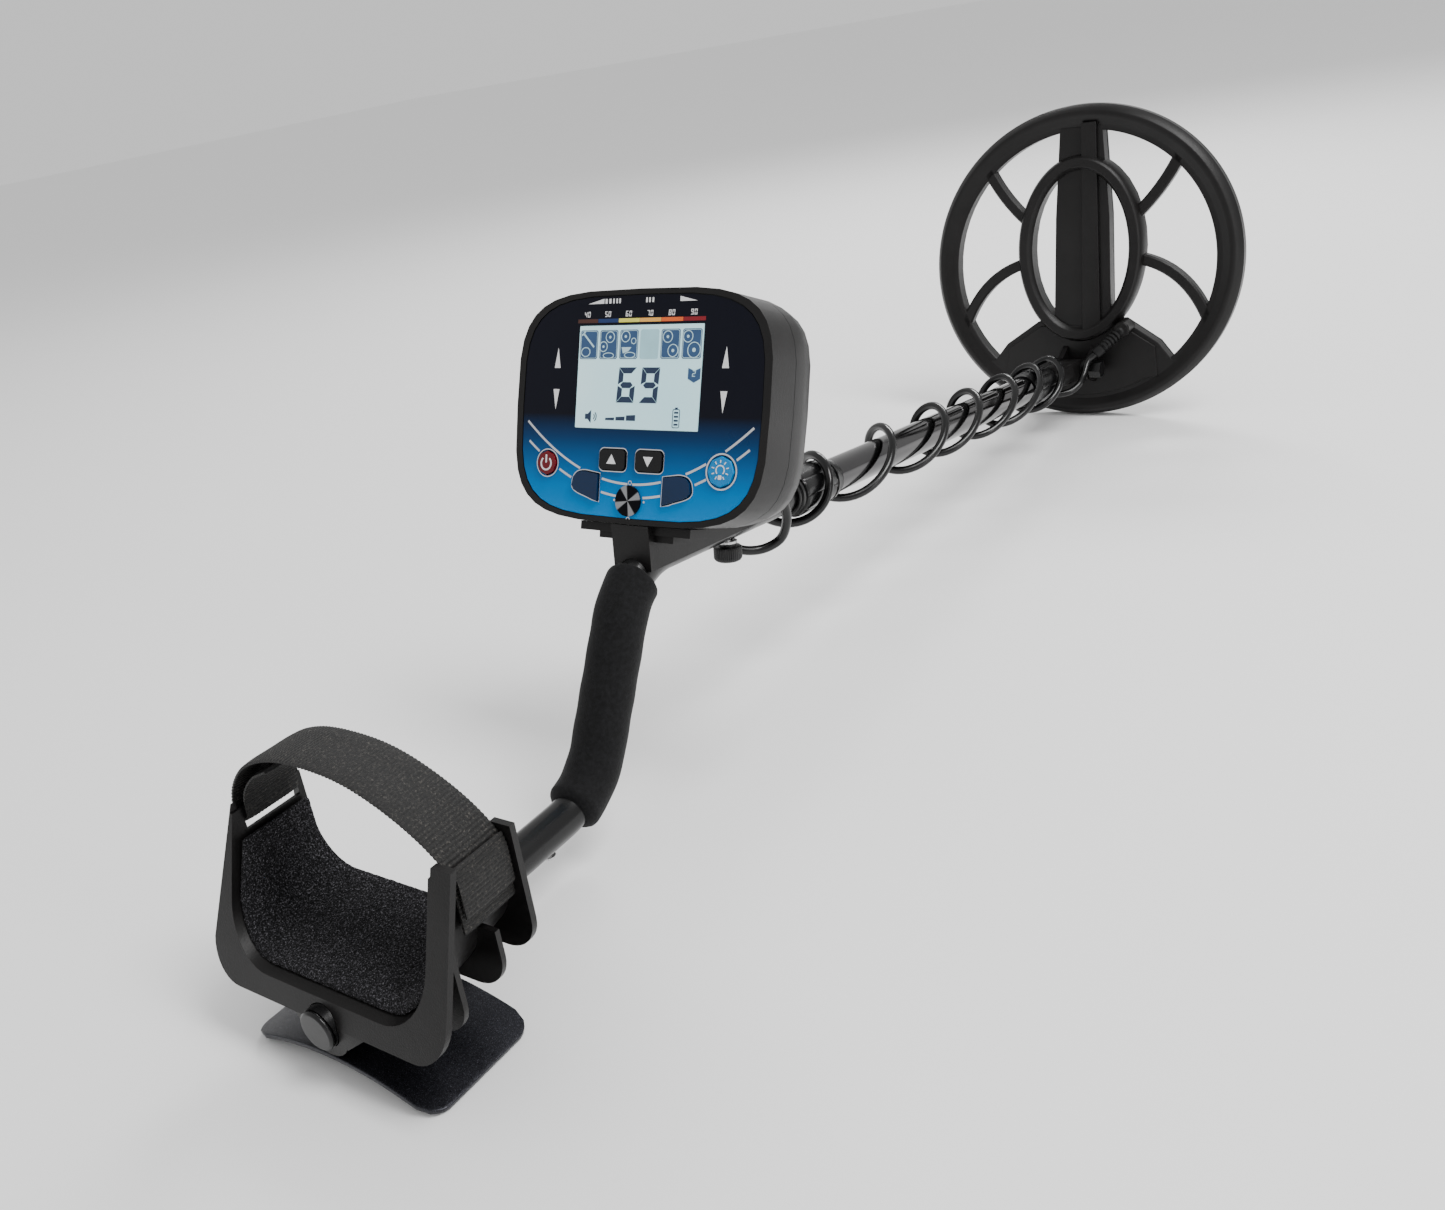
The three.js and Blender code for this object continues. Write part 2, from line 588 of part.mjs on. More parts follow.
// ---------------------------------------------------------------- bracket, screw and thumb knob
function bracket() {
  const saddle = solid(new THREE.BoxGeometry(23, 24, 98), SHAFT.clone().multiply(shift(0, 9, 52)));
  const shelf = inPanel(block(68, 4.5, 16, 0, -74.6, -12));
  const step = inPanel(block(46, 4.5, 12, 0, -78, -12));
  const bore = sweep(tubeRoute(200, TUBE_LENGTH), TUBE_R + GAP, 32);
  const screwHole = bar(2.6, -30, 40, 16, SCREW_AXIS);
  const headSeat = bar(5, 12.5, 40, 16, SCREW_AXIS);
  const whole = cut(join(saddle, shelf, step), bore, envelope(0.4), screwHole, headSeat);
  return whole.decompose().reduce(largest);
}

const largest = (a, b) => (b.volume() > a.volume() ? b : a);
add("box_bracket", bracket(), CHARCOAL, 0.5);
const KNOB_SCREW = [[0, -19], [2.2, -19], [2.2, 12.8], [4.6, 12.8], [4.2, 15.6], [0, 16]];
add("knob_screw", turned(KNOB_SCREW, 16, SCREW_AXIS), STEEL, 0.3, 1);
add("knob_washer", ring(5.6, 2.6, -11.1, -9.9, 20, SCREW_AXIS), STEEL, 0.3, 1);
const knobOutline = [
  [0, -21.4],
  [7, -21.4],
  [8, -20],
  [8, -13.6],
  [7.4, -12.9],
  [4.8, -12.6],
  [4.8, -11.4],
  [2.5, -11.4],
  [2.5, -19.4],
  [0, -19.4],
];
add("thumb_knob", turned(knobOutline, 28, SCREW_AXIS), BLACK, 0.6);

// ---------------------------------------------------------------- telescopic shaft
const onAxis = (points, sides) => turned(points, sides, SHAFT);
const midTube = ring(MID_TUBE.r, MID_TUBE.r - MID_TUBE.wall, MID_TUBE.from, MID_TUBE.to, 32, SHAFT);
add("mid_tube", midTube, GLOSS, 0.08, 0.6);

// A twist collar: `tail` is its closed end round the inner tube and `mouth` its end over the bush.
function collar(tail, mouth) {
  const way = Math.sign(mouth - tail);
  const { r, bore, seat } = COLLAR;
  const step = tail + way * 15;
  const outline = [
    [bore, tail],
    [r - 2.4, tail],
    [r - 2.4, tail + way * 3],
    [r - 1.2, tail + way * 3],
    [r - 1.2, tail + way * 7],
    [r, tail + way * 8],
    [r, mouth],
    [seat, mouth],
    [seat, step],
    [bore, step],
    [bore, tail],
  ];
  return onAxis(way > 0 ? outline : outline.reverse(), 24);
}

function bush(mouth, way) {
  const start = mouth - way * 22;
  const inner = MID_TUBE.r + GAP;
  const outline = [
    [inner, start],
    [BUSH_R, start],
    [BUSH_R, mouth + way * 0.4],
    [COLLAR.r - 0.4, mouth + way * 0.4],
    [COLLAR.r - 0.6, mouth + way * 3],
    [inner + 0.8, mouth + way * 9],
    [inner, mouth + way * 9],
    [inner, start],
  ];
  return onAxis(way > 0 ? outline : outline.reverse(), 24);
}
add("upper_collar", collar(152, 196), BLACK, 0.35);
add("upper_bush", bush(196, 1), BLACK, 0.4);
add("lower_collar", collar(572, 533), BLACK, 0.35);
add("lower_bush", bush(533, -1), BLACK, 0.4);

function lowerRod() {
  const { r, wall, from, shoulder, neck, endR } = ROD;
  const solidEnd = [[endR, shoulder + 1], [endR, neck - 3], [8, neck + 2], [0, neck + 2]];
  const outside = [[r, from], [r, shoulder], ...solidEnd];
  const inside = [[0, shoulder], [r - wall, shoulder], [r - wall, from]];
  const tube = onAxis([[r - wall, from], ...outside, ...inside], 28);
  const tonguePlace = SHAFT.clone().multiply(shift(0, 0, HINGE_AT - 17));
  const tongue = solid(new THREE.BoxGeometry(16, 16, 34), tonguePlace);
  const eye = bar(8, -8, 8, 28, CROSS);
  return cut(join(tube, tongue, eye), bar(3.3, -20, 20, 20, CROSS));
}
add("lower_rod", lowerRod(), CHARCOAL, 0.5);

// ---------------------------------------------------------------- search coil
const onCoilPlane = (shape, z0, z1, segments) => prism(shape, z0, z1, COIL, segments);

function ovalRing(inset, z0, z1, width = OVAL.width - 2 * inset) {
  const shape = ellipse(OVAL.x - inset, OVAL.y - inset, 0, OVAL.cy);
  shape.holes.push(ellipse(OVAL.x - inset - width, OVAL.y - inset - width, 0, OVAL.cy));
  return onCoilPlane(shape, z0, z1, 16);
}

const BRIDGE = polygon([[-22, -60], [26, -60], [24, 40], [18, 112], [-16, 112], [-20, 40]]);
const SECTOR = polygon([
  [-36, -46],
  [36, -46],
  [64, -65],
  [75, -79],
  [88, -79],
  [60, -120],
  [-60, -120],
  [-88, -79],
  [-75, -79],
  [-64, -65],
]);
const disc = (z0, z1) => bar(RIM.in + 3, z0, z1, 48, COIL);

function spokes() {
  const lines = [
    [[78, 84], [65, 61], [46, 40]],
    [[101, -47], [80, -14], [48, 3]],
  ];
  const both = lines.flatMap((line) => [line, line.map(([x, y]) => [-x, y])]);
  return both.map((line) => onCoilPlane(ribbon(line, 9, 5), -4, 4));
}

function ear(side) {
  const base = 4;
  const y = -HINGE_TO_CENTRE;
  const shape = new THREE.Shape();
  shape.moveTo(y - 15, base);
  shape.absarc(y, HINGE_HEIGHT, EAR.r, Math.PI + 0.35, -0.35, true);
  shape.lineTo(y + 17, base);
  shape.closePath();
  const [x0, x1] = side > 0 ? [EAR.x, EAR.x + EAR.thick] : [-EAR.x - EAR.thick, -EAR.x];
  return prism(shape, x0, x1, COIL.clone().multiply(ALONG_X), 8);
}

function coilShell() {
  const back = [[107.5, -6], [127, -6], [127, 2]];
  const profile = [...back, [122, 7.5], [118, 7.5], [112, 4], [107.5, 4], [107.5, -6]];
  const rim = turned(profile, 64, COIL);
  const bridge = onCoilPlane(BRIDGE, COIL_BACK, 4.5);
  const strip = onCoilPlane(polygon([[3, -60], [18, -60], [14, 118], [2, 118]]), 0, 7.5);
  const plate = onCoilPlane(SECTOR, COIL_BACK, 5).intersect(disc(-10, 20));
  const boss = bar(GLAND.bossR, 3, 17, 20, COIL.clone().multiply(shift(GLAND.boss[0], GLAND.boss[1], 0)));
  const oval = ovalRing(0, COIL_BACK, OVAL.top);
  const body = join(rim, bridge, strip, plate, oval, ...spokes(), ear(1), ear(-1), boss);
  const rimTrough = ring(123.4, 113.6, -10, 0, 40, COIL);
  const ovalTrough = ovalRing(2.2, -10, 5);
  const boltHole = bar(3.3, -30, 30, 20, CROSS);
  return cut(body, rimTrough, ovalTrough, boltHole);
}
add("coil_shell", coilShell(), CHARCOAL, 0.55);

function coilCover() {
  const rim = ring(126, 108, -8, -6.3, 64, COIL);
  const bridge = onCoilPlane(BRIDGE, -8, -6.3);
  const plate = onCoilPlane(SECTOR, -8, -6.3).intersect(disc(-10, 20));
  return join(rim, bridge, plate, ovalRing(0.5, -8, -6.3));
}
add("coil_cover", coilCover(), BLACK, 0.6);
add("transmit_winding", ring(122.8, 114.6, -5.6, -0.4, 40, COIL), 0x8a4a22, 0.4, 0.8);
add("receive_winding", ovalRing(2.8, -5.6, 4.4), 0x8a4a22, 0.4, 0.8);

// ---------------------------------------------------------------- hinge fittings
for (const [name, side] of [["washer_left", -1], ["washer_right", 1]]) {
  const [x0, x1] = side > 0 ? [8.3, 9.5] : [-9.5, -8.3];
  add(name, ring(7.5, 3.3, x0, x1, 24, CROSS), 0x101010, 0.9);
}
const boltOutline = [[0, -20], [5, -20], [6, -18.6], [6, -14.5], [3, -14.5], [3, 22], [0, 22]];
add("hinge_bolt", turned(boltOutline, 20, CROSS), BLACK, 0.5);

function hexNut() {
  const hub = prism(regular(7.6, 6), 14.6, 24.6, CROSS);
  return cut(hub, bar(3.3, 10, 23, 20, CROSS));
}
add("hinge_nut", hexNut(), BLACK, 0.4);

// ---------------------------------------------------------------- cable
function gland() {
  const [from, to] = [onCoil(GLAND.boss), onCoil(GLAND.tip)];
  const way = to.clone().sub(from);
  const length = way.length();
  const axis = way.normalize();
  const side = axis.clone().cross(EZ).normalize();
  const frame = basis(side, axis.clone().cross(side), axis).setPosition(from);
  const sleeve = [[3.6, length - 7], [3.4, length], [0, length]];
  const outline = [[0, 4], [GLAND.r, 4], [GLAND.r, length - 8], ...sleeve];
  const bossPlace = COIL.clone().multiply(shift(GLAND.boss[0], GLAND.boss[1], 0));
  const boss = bar(GLAND.bossR + GAP, -20, 17 + GAP, 20, bossPlace);
  return { body: cut(turned(outline, 20, frame), boss), tip: to, axis };
}
const { body: glandBody, tip: glandTip, axis: glandAxis } = gland();
add("cable_gland", glandBody, BLACK, 0.7);

// Where the winding crosses the shaft after some number of half turns, between the listed ones.
function crossing(halfTurns) {
  const last = HALF_TURNS.length - 1;
  const at = (i) => (i < 0 ? HALF_TURNS[0] + 40 * i : HALF_TURNS[Math.min(i, last)]);
  const i = Math.floor(halfTurns);
  const t = halfTurns - i;
  const [a, b, c, d] = [at(i - 1), at(i), at(i + 1), at(i + 2)];
  const bend = (2 * a - 5 * b + 4 * c - d) * t * t;
  return 0.5 * (2 * b + (c - a) * t + bend + (3 * b - a - 3 * c + d) * t ** 3);
}

// Each turn runs from under the shaft, out to the right and over it, and back down on the left.
function windingPoint(halfTurns) {
  const angle = halfTurns * Math.PI;
  const along = crossing(halfTurns);
  const point = new THREE.Vector3(-WINDING_R * Math.sin(angle), -WINDING_R * Math.cos(angle), along);
  return point.applyMatrix4(SHAFT);
}

const PER_HALF_TURN = 6;
const fromSocket = (z) => new THREE.Vector3(SOCKET[0], SOCKET[1], z).applyMatrix4(PANEL_FRAME);
const beyondGland = (distance) => glandTip.clone().addScaledVector(glandAxis, distance);
const tailPoints = CABLE_TAIL.map((p) => new THREE.Vector3(...p));
const points = [fromSocket(-52.5 - GAP), fromSocket(-59), ...tailPoints];
const windingStart = points.length;
for (let k = -PER_HALF_TURN / 2; k <= (HALF_TURNS.length - 1) * PER_HALF_TURN; k++) {
  points.push(windingPoint(k / PER_HALF_TURN));
}
const windingEnd = points.length - 1;
points.push(...CABLE_LEAD.map((p) => new THREE.Vector3(...p)), beyondGland(6), beyondGland(GAP));
const cableLine = new THREE.CatmullRomCurve3(points, false, "centripetal");

// The run of cable between two of its points; a run that follows another starts a gap after it.
function cableRun(from, to, perPoint) {
  const stations = [];
  for (let i = 0; i <= (to - from) * perPoint; i++) {
    const t = (from + i / perPoint) / (points.length - 1);
    const [point, way] = [cableLine.getPoint(t), cableLine.getTangent(t)];
    if (i === 0 && from > 0) point.addScaledVector(way, GAP);
    stations.push([point, way]);
  }
  return sweep(new Route(stations), CABLE_R, 8);
}
add("cable_tail", cableRun(0, windingStart, 2), GLOSS, 0.3);
add("cable_winding", cableRun(windingStart, windingEnd, 1), GLOSS, 0.3);
add("cable_lead", cableRun(windingEnd, points.length - 1, 2), GLOSS, 0.3);

export default root;
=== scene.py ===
"""The finished look of a metal detector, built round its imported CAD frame. Metres, +Z up."""
import json
import math

import bmesh
import bpy
from mathutils import Matrix, Vector, noise

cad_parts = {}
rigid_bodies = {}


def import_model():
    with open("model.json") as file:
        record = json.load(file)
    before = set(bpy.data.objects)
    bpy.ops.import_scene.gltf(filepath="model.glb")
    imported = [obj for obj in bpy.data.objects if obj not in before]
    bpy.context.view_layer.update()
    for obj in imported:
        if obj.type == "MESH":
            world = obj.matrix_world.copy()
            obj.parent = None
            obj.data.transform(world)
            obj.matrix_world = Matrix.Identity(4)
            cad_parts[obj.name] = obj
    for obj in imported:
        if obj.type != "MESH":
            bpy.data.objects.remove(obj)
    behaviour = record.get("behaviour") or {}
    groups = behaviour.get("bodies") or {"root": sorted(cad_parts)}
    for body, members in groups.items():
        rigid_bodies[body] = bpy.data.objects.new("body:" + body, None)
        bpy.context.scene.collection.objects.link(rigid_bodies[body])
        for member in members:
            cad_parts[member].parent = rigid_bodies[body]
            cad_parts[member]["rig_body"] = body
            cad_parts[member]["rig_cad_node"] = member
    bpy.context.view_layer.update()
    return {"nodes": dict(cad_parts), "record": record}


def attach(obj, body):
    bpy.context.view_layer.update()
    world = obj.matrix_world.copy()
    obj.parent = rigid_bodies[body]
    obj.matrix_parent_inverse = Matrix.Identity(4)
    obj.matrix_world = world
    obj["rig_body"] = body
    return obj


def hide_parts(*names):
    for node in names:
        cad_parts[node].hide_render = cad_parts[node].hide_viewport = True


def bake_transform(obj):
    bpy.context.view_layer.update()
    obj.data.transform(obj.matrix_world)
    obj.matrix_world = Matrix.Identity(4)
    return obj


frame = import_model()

MM = 0.001
ORIGIN_Y = 462.9  # the CAD's own origin, from the rear end cap, in millimetres


# ---------------------------------------------------------------- frames, in millimetres from the end cap
def mm(x, y, z):
    """A point given in the CAD source's millimetres, as a point of the frame."""
    return Vector((x, y - ORIGIN_Y, z)) * MM


def axes(x, y, z, origin):
    """The matrix that carries a local frame in millimetres to the scene in metres."""
    turn = Matrix((x, y, z)).transposed().to_4x4()
    return Matrix.Translation(origin) @ turn @ Matrix.Scale(MM, 4)


SLOPE = math.radians(-7.46)
SHAFT_DIR = Vector((0, math.cos(SLOPE), math.sin(SLOPE)))
SHAFT_UP = Vector((0, -math.sin(SLOPE), math.cos(SLOPE)))
SHAFT = axes(Vector((1, 0, 0)), -SHAFT_UP, SHAFT_DIR, mm(0, 248.5, 128.6))
BOX_LEAN = math.radians(68.6)
PANEL_UP = Vector((0, math.cos(BOX_LEAN), math.sin(BOX_LEAN)))
PANEL_OUT = Vector((0, -math.sin(BOX_LEAN), math.cos(BOX_LEAN)))
PANEL = axes(Vector((1, 0, 0)), PANEL_UP, PANEL_OUT, mm(0, 280.8, 215.8))
COIL_LEAN = math.radians(86.5)
COIL_UP = Vector((0, math.cos(COIL_LEAN), math.sin(COIL_LEAN)))
COIL_OUT = Vector((0, -math.sin(COIL_LEAN), math.cos(COIL_LEAN)))
HINGE = SHAFT @ Vector((0, 0, 640))
HINGE_DROP, HINGE_RISE = 83.24, 22  # from the coil's centre down to the hinge, and above its face
COIL = axes(
    Vector((1, 0, 0)), COIL_UP, COIL_OUT, HINGE + (COIL_UP * HINGE_DROP - COIL_OUT * HINGE_RISE) * MM,
)

# Centres on the panel. The left side key mirrors the right one.
POWER_AT = (-54, -44)
LIGHT_AT = (53, -43.7)
ARROWS_AT = ((-11.6, -40.7), (10.8, -40.7))
SIDE_KEY_AT = (28.3, -54.4)
BADGE_AT = (-0.5, -60.6)


# ---------------------------------------------------------------- camera, stage and lights
def add_camera():
    """The photograph's viewpoint: above and to the right of the armrest."""
    data = bpy.data.cameras.new("camera")
    data.sensor_width = 36
    data.lens = 33.16
    data.shift_x = 0.0869
    data.shift_y = 0.0221
    data.clip_start = 0.01
    camera = bpy.data.objects.new("camera", data)
    right = Vector((0.787, 0.593, -0.171)).normalized()
    back = Vector((0.605, -0.6855, 0.405))
    back = (back - right * back.dot(right)).normalized()
    up = back.cross(right)
    turn = Matrix((right, up, back)).transposed().to_4x4()
    camera.matrix_world = Matrix.Translation(mm(395.5, -233.9, 369.8)) @ turn
    bpy.context.scene.collection.objects.link(camera)
    bpy.context.scene.camera = camera


def add_area(name, place, target, size, power):
    """A soft rectangular light at place, facing target."""
    data = bpy.data.lights.new(name, "AREA")
    data.shape = "RECTANGLE"
    data.size, data.size_y = size
    data.energy = power
    light = bpy.data.objects.new(name, data)
    light.location = place
    light.rotation_euler = (Vector(target) - Vector(place)).to_track_quat("-Z", "Y").to_euler()
    bpy.context.scene.collection.objects.link(light)


def add_stage():
    """A pale floor, a bright surround and three soft lights."""
    bpy.ops.mesh.primitive_plane_add(size=30, location=(0, 0, -0.0004))
    floor = bpy.context.object
    floor.name = "floor"
    surface = bpy.data.materials.new("floor")
    surface.use_nodes = True
    shader = surface.node_tree.nodes["Principled BSDF"]
    shader.inputs["Base Color"].default_value = (0.9, 0.9, 0.9, 1)
    shader.inputs["Roughness"].default_value = 0.9
    floor.data.materials.append(surface)
    world = bpy.data.worlds.new("surround")
    world.use_nodes = True
    world.node_tree.nodes["Background"].inputs["Color"].default_value = (1, 1, 1, 1)
    world.node_tree.nodes["Background"].inputs["Strength"].default_value = 0.8
    bpy.context.scene.world = world
    add_area("key", (1.1, -0.1, 1.9), (0, 0, 0.1), (0.7, 1.1), 40)
    add_area("side", (2.0, -0.4, 0.7), (0, -0.1, 0.1), (0.3, 1.4), 7)
    add_area("back", (-0.5, 1.9, 1.6), (0, 0.1, 0.1), (1.3, 0.4), 34)


# ---------------------------------------------------------------- materials
class Graph:
    """A small helper for one material's nodes."""

    def __init__(self, name, color, roughness, metallic=0.0, coat=0.0, specular=0.5):
        self.material = bpy.data.materials.new(name)
        self.material.use_nodes = True
        self.tree = self.material.node_tree
        self.shader = self.tree.nodes["Principled BSDF"]
        sockets = {
            "Base Color": (*color, 1),
            "Roughness": roughness,
            "Metallic": metallic,
            "Coat Weight": coat,
            "Specular IOR Level": specular,
            "Coat Roughness": 0.08,
        }
        for socket, value in sockets.items():
            self.shader.inputs[socket].default_value = value
        self.place = self.node("ShaderNodeTexCoord").outputs["Object"]
        self.height = None

    def node(self, kind, **settings):
        made = self.tree.nodes.new(kind)
        for key, value in settings.items():
            setattr(made, key, value)
        return made

    def link(self, output, socket):
        self.tree.links.new(output, socket)

    def noise(self, scale, detail=3, roughness=0.5):
        made = self.node("ShaderNodeTexNoise")
        made.inputs["Scale"].default_value = scale
        made.inputs["Detail"].default_value = detail
        made.inputs["Roughness"].default_value = roughness
        self.link(self.place, made.inputs["Vector"])
        return made.outputs["Fac"]

    def cells(self, scale):
        made = self.node("ShaderNodeTexVoronoi")
        made.inputs["Scale"].default_value = scale
        self.link(self.place, made.inputs["Vector"])
        return made.outputs["Distance"]

    def ramp(self, value, stops):
        made = self.node("ShaderNodeValToRGB")
        ramp = made.color_ramp
        while len(ramp.elements) < len(stops):
            ramp.elements.new(0.5)
        for element, (at, color) in zip(ramp.elements, stops):
            element.position = at
            element.color = (*color, 1)
        self.link(value, made.inputs["Fac"])
        return made.outputs["Color"]

    def spread(self, value, low, high):
        made = self.node("ShaderNodeMapRange")
        made.inputs["From Min"].default_value = 0.3
        made.inputs["From Max"].default_value = 0.7
        made.inputs["To Min"].default_value = low
        made.inputs["To Max"].default_value = high
        self.link(value, made.inputs["Value"])
        return made.outputs["Result"]

    def color(self, value, stops):
        self.link(self.ramp(value, stops), self.shader.inputs["Base Color"])
        return self

    def rough(self, value, low, high):
        self.link(self.spread(value, low, high), self.shader.inputs["Roughness"])
        return self

    def bump(self, value, distance, strength=1.0):
        made = self.node("ShaderNodeBump")
        made.inputs["Distance"].default_value = distance
        made.inputs["Strength"].default_value = strength
        self.link(value, made.inputs["Height"])
        if self.height is not None:
            self.link(self.height, made.inputs["Normal"])
        self.height = made.outputs["Normal"]
        self.link(self.height, self.shader.inputs["Normal"])
        return self


def moulded(name, tone, roughness, grain=0.00005, specular=0.26):
    """Moulded plastic: fine spark texture, slight mottling and handling wear in its gloss."""
    g = Graph(name, tone, roughness, specular=specular)
    dark = [c * 0.8 for c in tone]
    light = [c * 1.25 for c in tone]
    g.color(g.noise(35, 4), [(0.3, dark), (0.7, light)])
    g.rough(g.noise(12, 5, 0.6), roughness - 0.07, roughness + 0.1)
    g.bump(g.noise(2400, 2), grain)
    g.bump(g.cells(1300), grain * 0.7)
    return g.material


def metal(name, tone, roughness, grain=400):
    """Plated or painted metal with faint polishing marks."""
    g = Graph(name, tone, roughness, metallic=1.0)
    g.color(g.noise(60, 3), [(0.3, [c * 0.88 for c in tone]), (0.7, tone)])
    g.rough(g.noise(grain, 4), roughness * 0.8, roughness * 1.3)
    g.bump(g.noise(grain * 3, 2), 0.00001)
    return g.material


def powder_coat():
    """Satin black powder coat on the upper tube."""
    g = Graph("powder_coat", (0.003, 0.003, 0.0032), 0.22, coat=0.1, specular=0.3)
    g.color(g.noise(25, 4), [(0.3, (0.002, 0.002, 0.0022)), (0.7, (0.0045, 0.0045, 0.0047))])
    g.rough(g.noise(18, 5), 0.2, 0.34)
    g.bump(g.noise(1500, 3), 0.00002)
    return g.material


def dark_chrome():
    """The polished telescopic tube, which mirrors the studio in long streaks."""
    g = Graph("dark_chrome", (0.05, 0.048, 0.05), 0.1, metallic=1.0, coat=0.35)
    g.color(g.noise(14, 5), [(0.3, (0.035, 0.034, 0.036)), (0.7, (0.065, 0.06, 0.06))])
    g.rough(g.noise(30, 6, 0.6), 0.07, 0.17)
    return g.material


def foam_skin():
    """Open-cell foam: black cells with pale broken edges."""
    g = Graph("open_cell_foam", (0.01, 0.01, 0.011), 0.95, specular=0.25)
    g.color(
        g.noise(1300, 4, 0.75),
        [(0.43, (0.0015, 0.0015, 0.0018)), (0.54, (0.011, 0.0105, 0.0125)), (0.66, (0.15, 0.145, 0.16))],
    )
    g.bump(g.cells(700), 0.0012)
    g.bump(g.noise(1200, 3), 0.0006)
    return g.material


def grip_skin():
    """The closed foam of the hand grip: smoother, with fine pores."""
    g = Graph("grip_foam", (0.008, 0.008, 0.009), 0.8, specular=0.18)
    g.color(g.noise(500, 4, 0.6), [(0.35, (0.002, 0.002, 0.0022)), (0.75, (0.008, 0.008, 0.009))])
    g.bump(g.cells(1500), 0.00014)
    g.bump(g.noise(90, 3), 0.0002)
    g.shader.inputs["Sheen Weight"].default_value = 0.04
    return g.material


def webbing_cloth():
    """Black polypropylene webbing: painted glints on the yarns as pale flecks in its colour, and a soft
    sheen.
    """
    g = Graph("webbing_cloth", (0.01, 0.01, 0.011), 0.62, specular=0.3)
    # The palest stop of this ramp paints glints on the yarns into the colour.
    g.color(
        g.noise(900, 5, 0.75),
        [(0.4, (0.002, 0.002, 0.002)), (0.56, (0.008, 0.0075, 0.007)), (0.72, (0.09, 0.082, 0.072))],
    )
    g.bump(g.noise(2200, 3), 0.00025)
    g.shader.inputs["Sheen Weight"].default_value = 0.03
    return g.material


def sparkle_paint():
    """Satin black paint with fine metallic flake on the stand."""
    g = Graph("sparkle_paint", (0.02, 0.02, 0.024), 0.34, metallic=0.7)
    g.color(
        g.noise(2600, 2, 0.8),
        [(0.45, (0.01, 0.01, 0.013)), (0.6, (0.03, 0.031, 0.038)), (0.72, (0.14, 0.14, 0.17))],
    )
    g.rough(g.noise(900, 3), 0.26, 0.42)
    g.bump(g.cells(1700), 0.00004)
    return g.material


def panel_print():
    """The printed overlay: black at its top, fading through navy to bright blue."""
    g = Graph("panel_print", (0.01, 0.1, 0.3), 0.3, coat=0.03, specular=0.12)
    split = g.node("ShaderNodeSeparateXYZ")
    g.link(g.place, split.inputs["Vector"])
    low = (PANEL @ Vector((0, -72, 0))).z
    high = (PANEL @ Vector((0, 45, 0))).z
    level = g.node("ShaderNodeMapRange")
    level.inputs["From Min"].default_value = low
    level.inputs["From Max"].default_value = high
    g.link(split.outputs["Z"], level.inputs["Value"])
    stops = [
        (0.0, (0.0, 0.2, 0.52)),
        (0.15, (0.0, 0.155, 0.43)),
        (0.27, (0.0, 0.075, 0.23)),
        (0.36, (0.002, 0.03, 0.1)),
        (0.46, (0.0025, 0.003, 0.008)),
    ]
    g.color(level.outputs["Result"], stops)
    g.rough(g.noise(50, 4), 0.26, 0.38)
    g.bump(g.noise(1800, 2), 0.000012)
    return g.material


def glowing(name, tone, strength, second=None):
    """The display's lit surface, its tone changing a little at random across it."""
    g = Graph(name, tone, 0.22, coat=0.3)
    other = second or [c * 0.93 for c in tone]
    lit = g.ramp(g.noise(14, 2), [(0.3, other), (0.7, tone)])
    g.link(lit, g.shader.inputs["Base Color"])
    g.link(lit, g.shader.inputs["Emission Color"])
    g.shader.inputs["Emission Strength"].default_value = strength
    return g.material


def ink(name, tone, roughness=0.4, metallic=0.0):
    """Printed ink or a small moulded colour, with faint unevenness."""
    g = Graph(name, tone, roughness, metallic=metallic, coat=0.05, specular=0.3)
    g.color(g.noise(120, 3), [(0.3, [c * 0.9 for c in tone]), (0.7, tone)])
    g.bump(g.noise(1600, 2), 0.00001)
    return g.material


def badge_painted_reflection():
    """A turned metal disc, with painted reflection: bright and dark rays round its centre."""
    g = Graph("badge_painted_reflection", (0.5, 0.5, 0.52), 0.25, metallic=1.0)
    ray = g.node("ShaderNodeTexGradient", gradient_type="RADIAL")
    turn = g.node("ShaderNodeMapping")
    centre = PANEL @ Vector((*BADGE_AT, 0))
    turn.vector_type = "POINT"
    turn.inputs["Rotation"].default_value = (-BOX_LEAN, 0, 0)
    moved = g.node("ShaderNodeVectorMath", operation="SUBTRACT")
    moved.inputs[1].default_value = centre
    g.link(g.place, moved.inputs[0])
    g.link(moved.outputs["Vector"], turn.inputs["Vector"])
    g.link(turn.outputs["Vector"], ray.inputs["Vector"])
    painted_rays = g.node("ShaderNodeMath", operation="SINE")
    scaled = g.node("ShaderNodeMath", operation="MULTIPLY")
    scaled.inputs[1].default_value = 8 * math.pi
    g.link(ray.outputs["Fac"], scaled.inputs[0])
    g.link(scaled.outputs["Value"], painted_rays.inputs[0])
    # Painted reflection: the colour swings between near black and bright in rays round the centre.
    g.color(
        g.spread(painted_rays.outputs["Value"], 0.35, 0.65),
        [(0.35, (0.008, 0.008, 0.01)), (0.9, (0.62, 0.62, 0.65))],
    )
    g.bump(g.noise(900, 2), 0.000015)
    return g.material


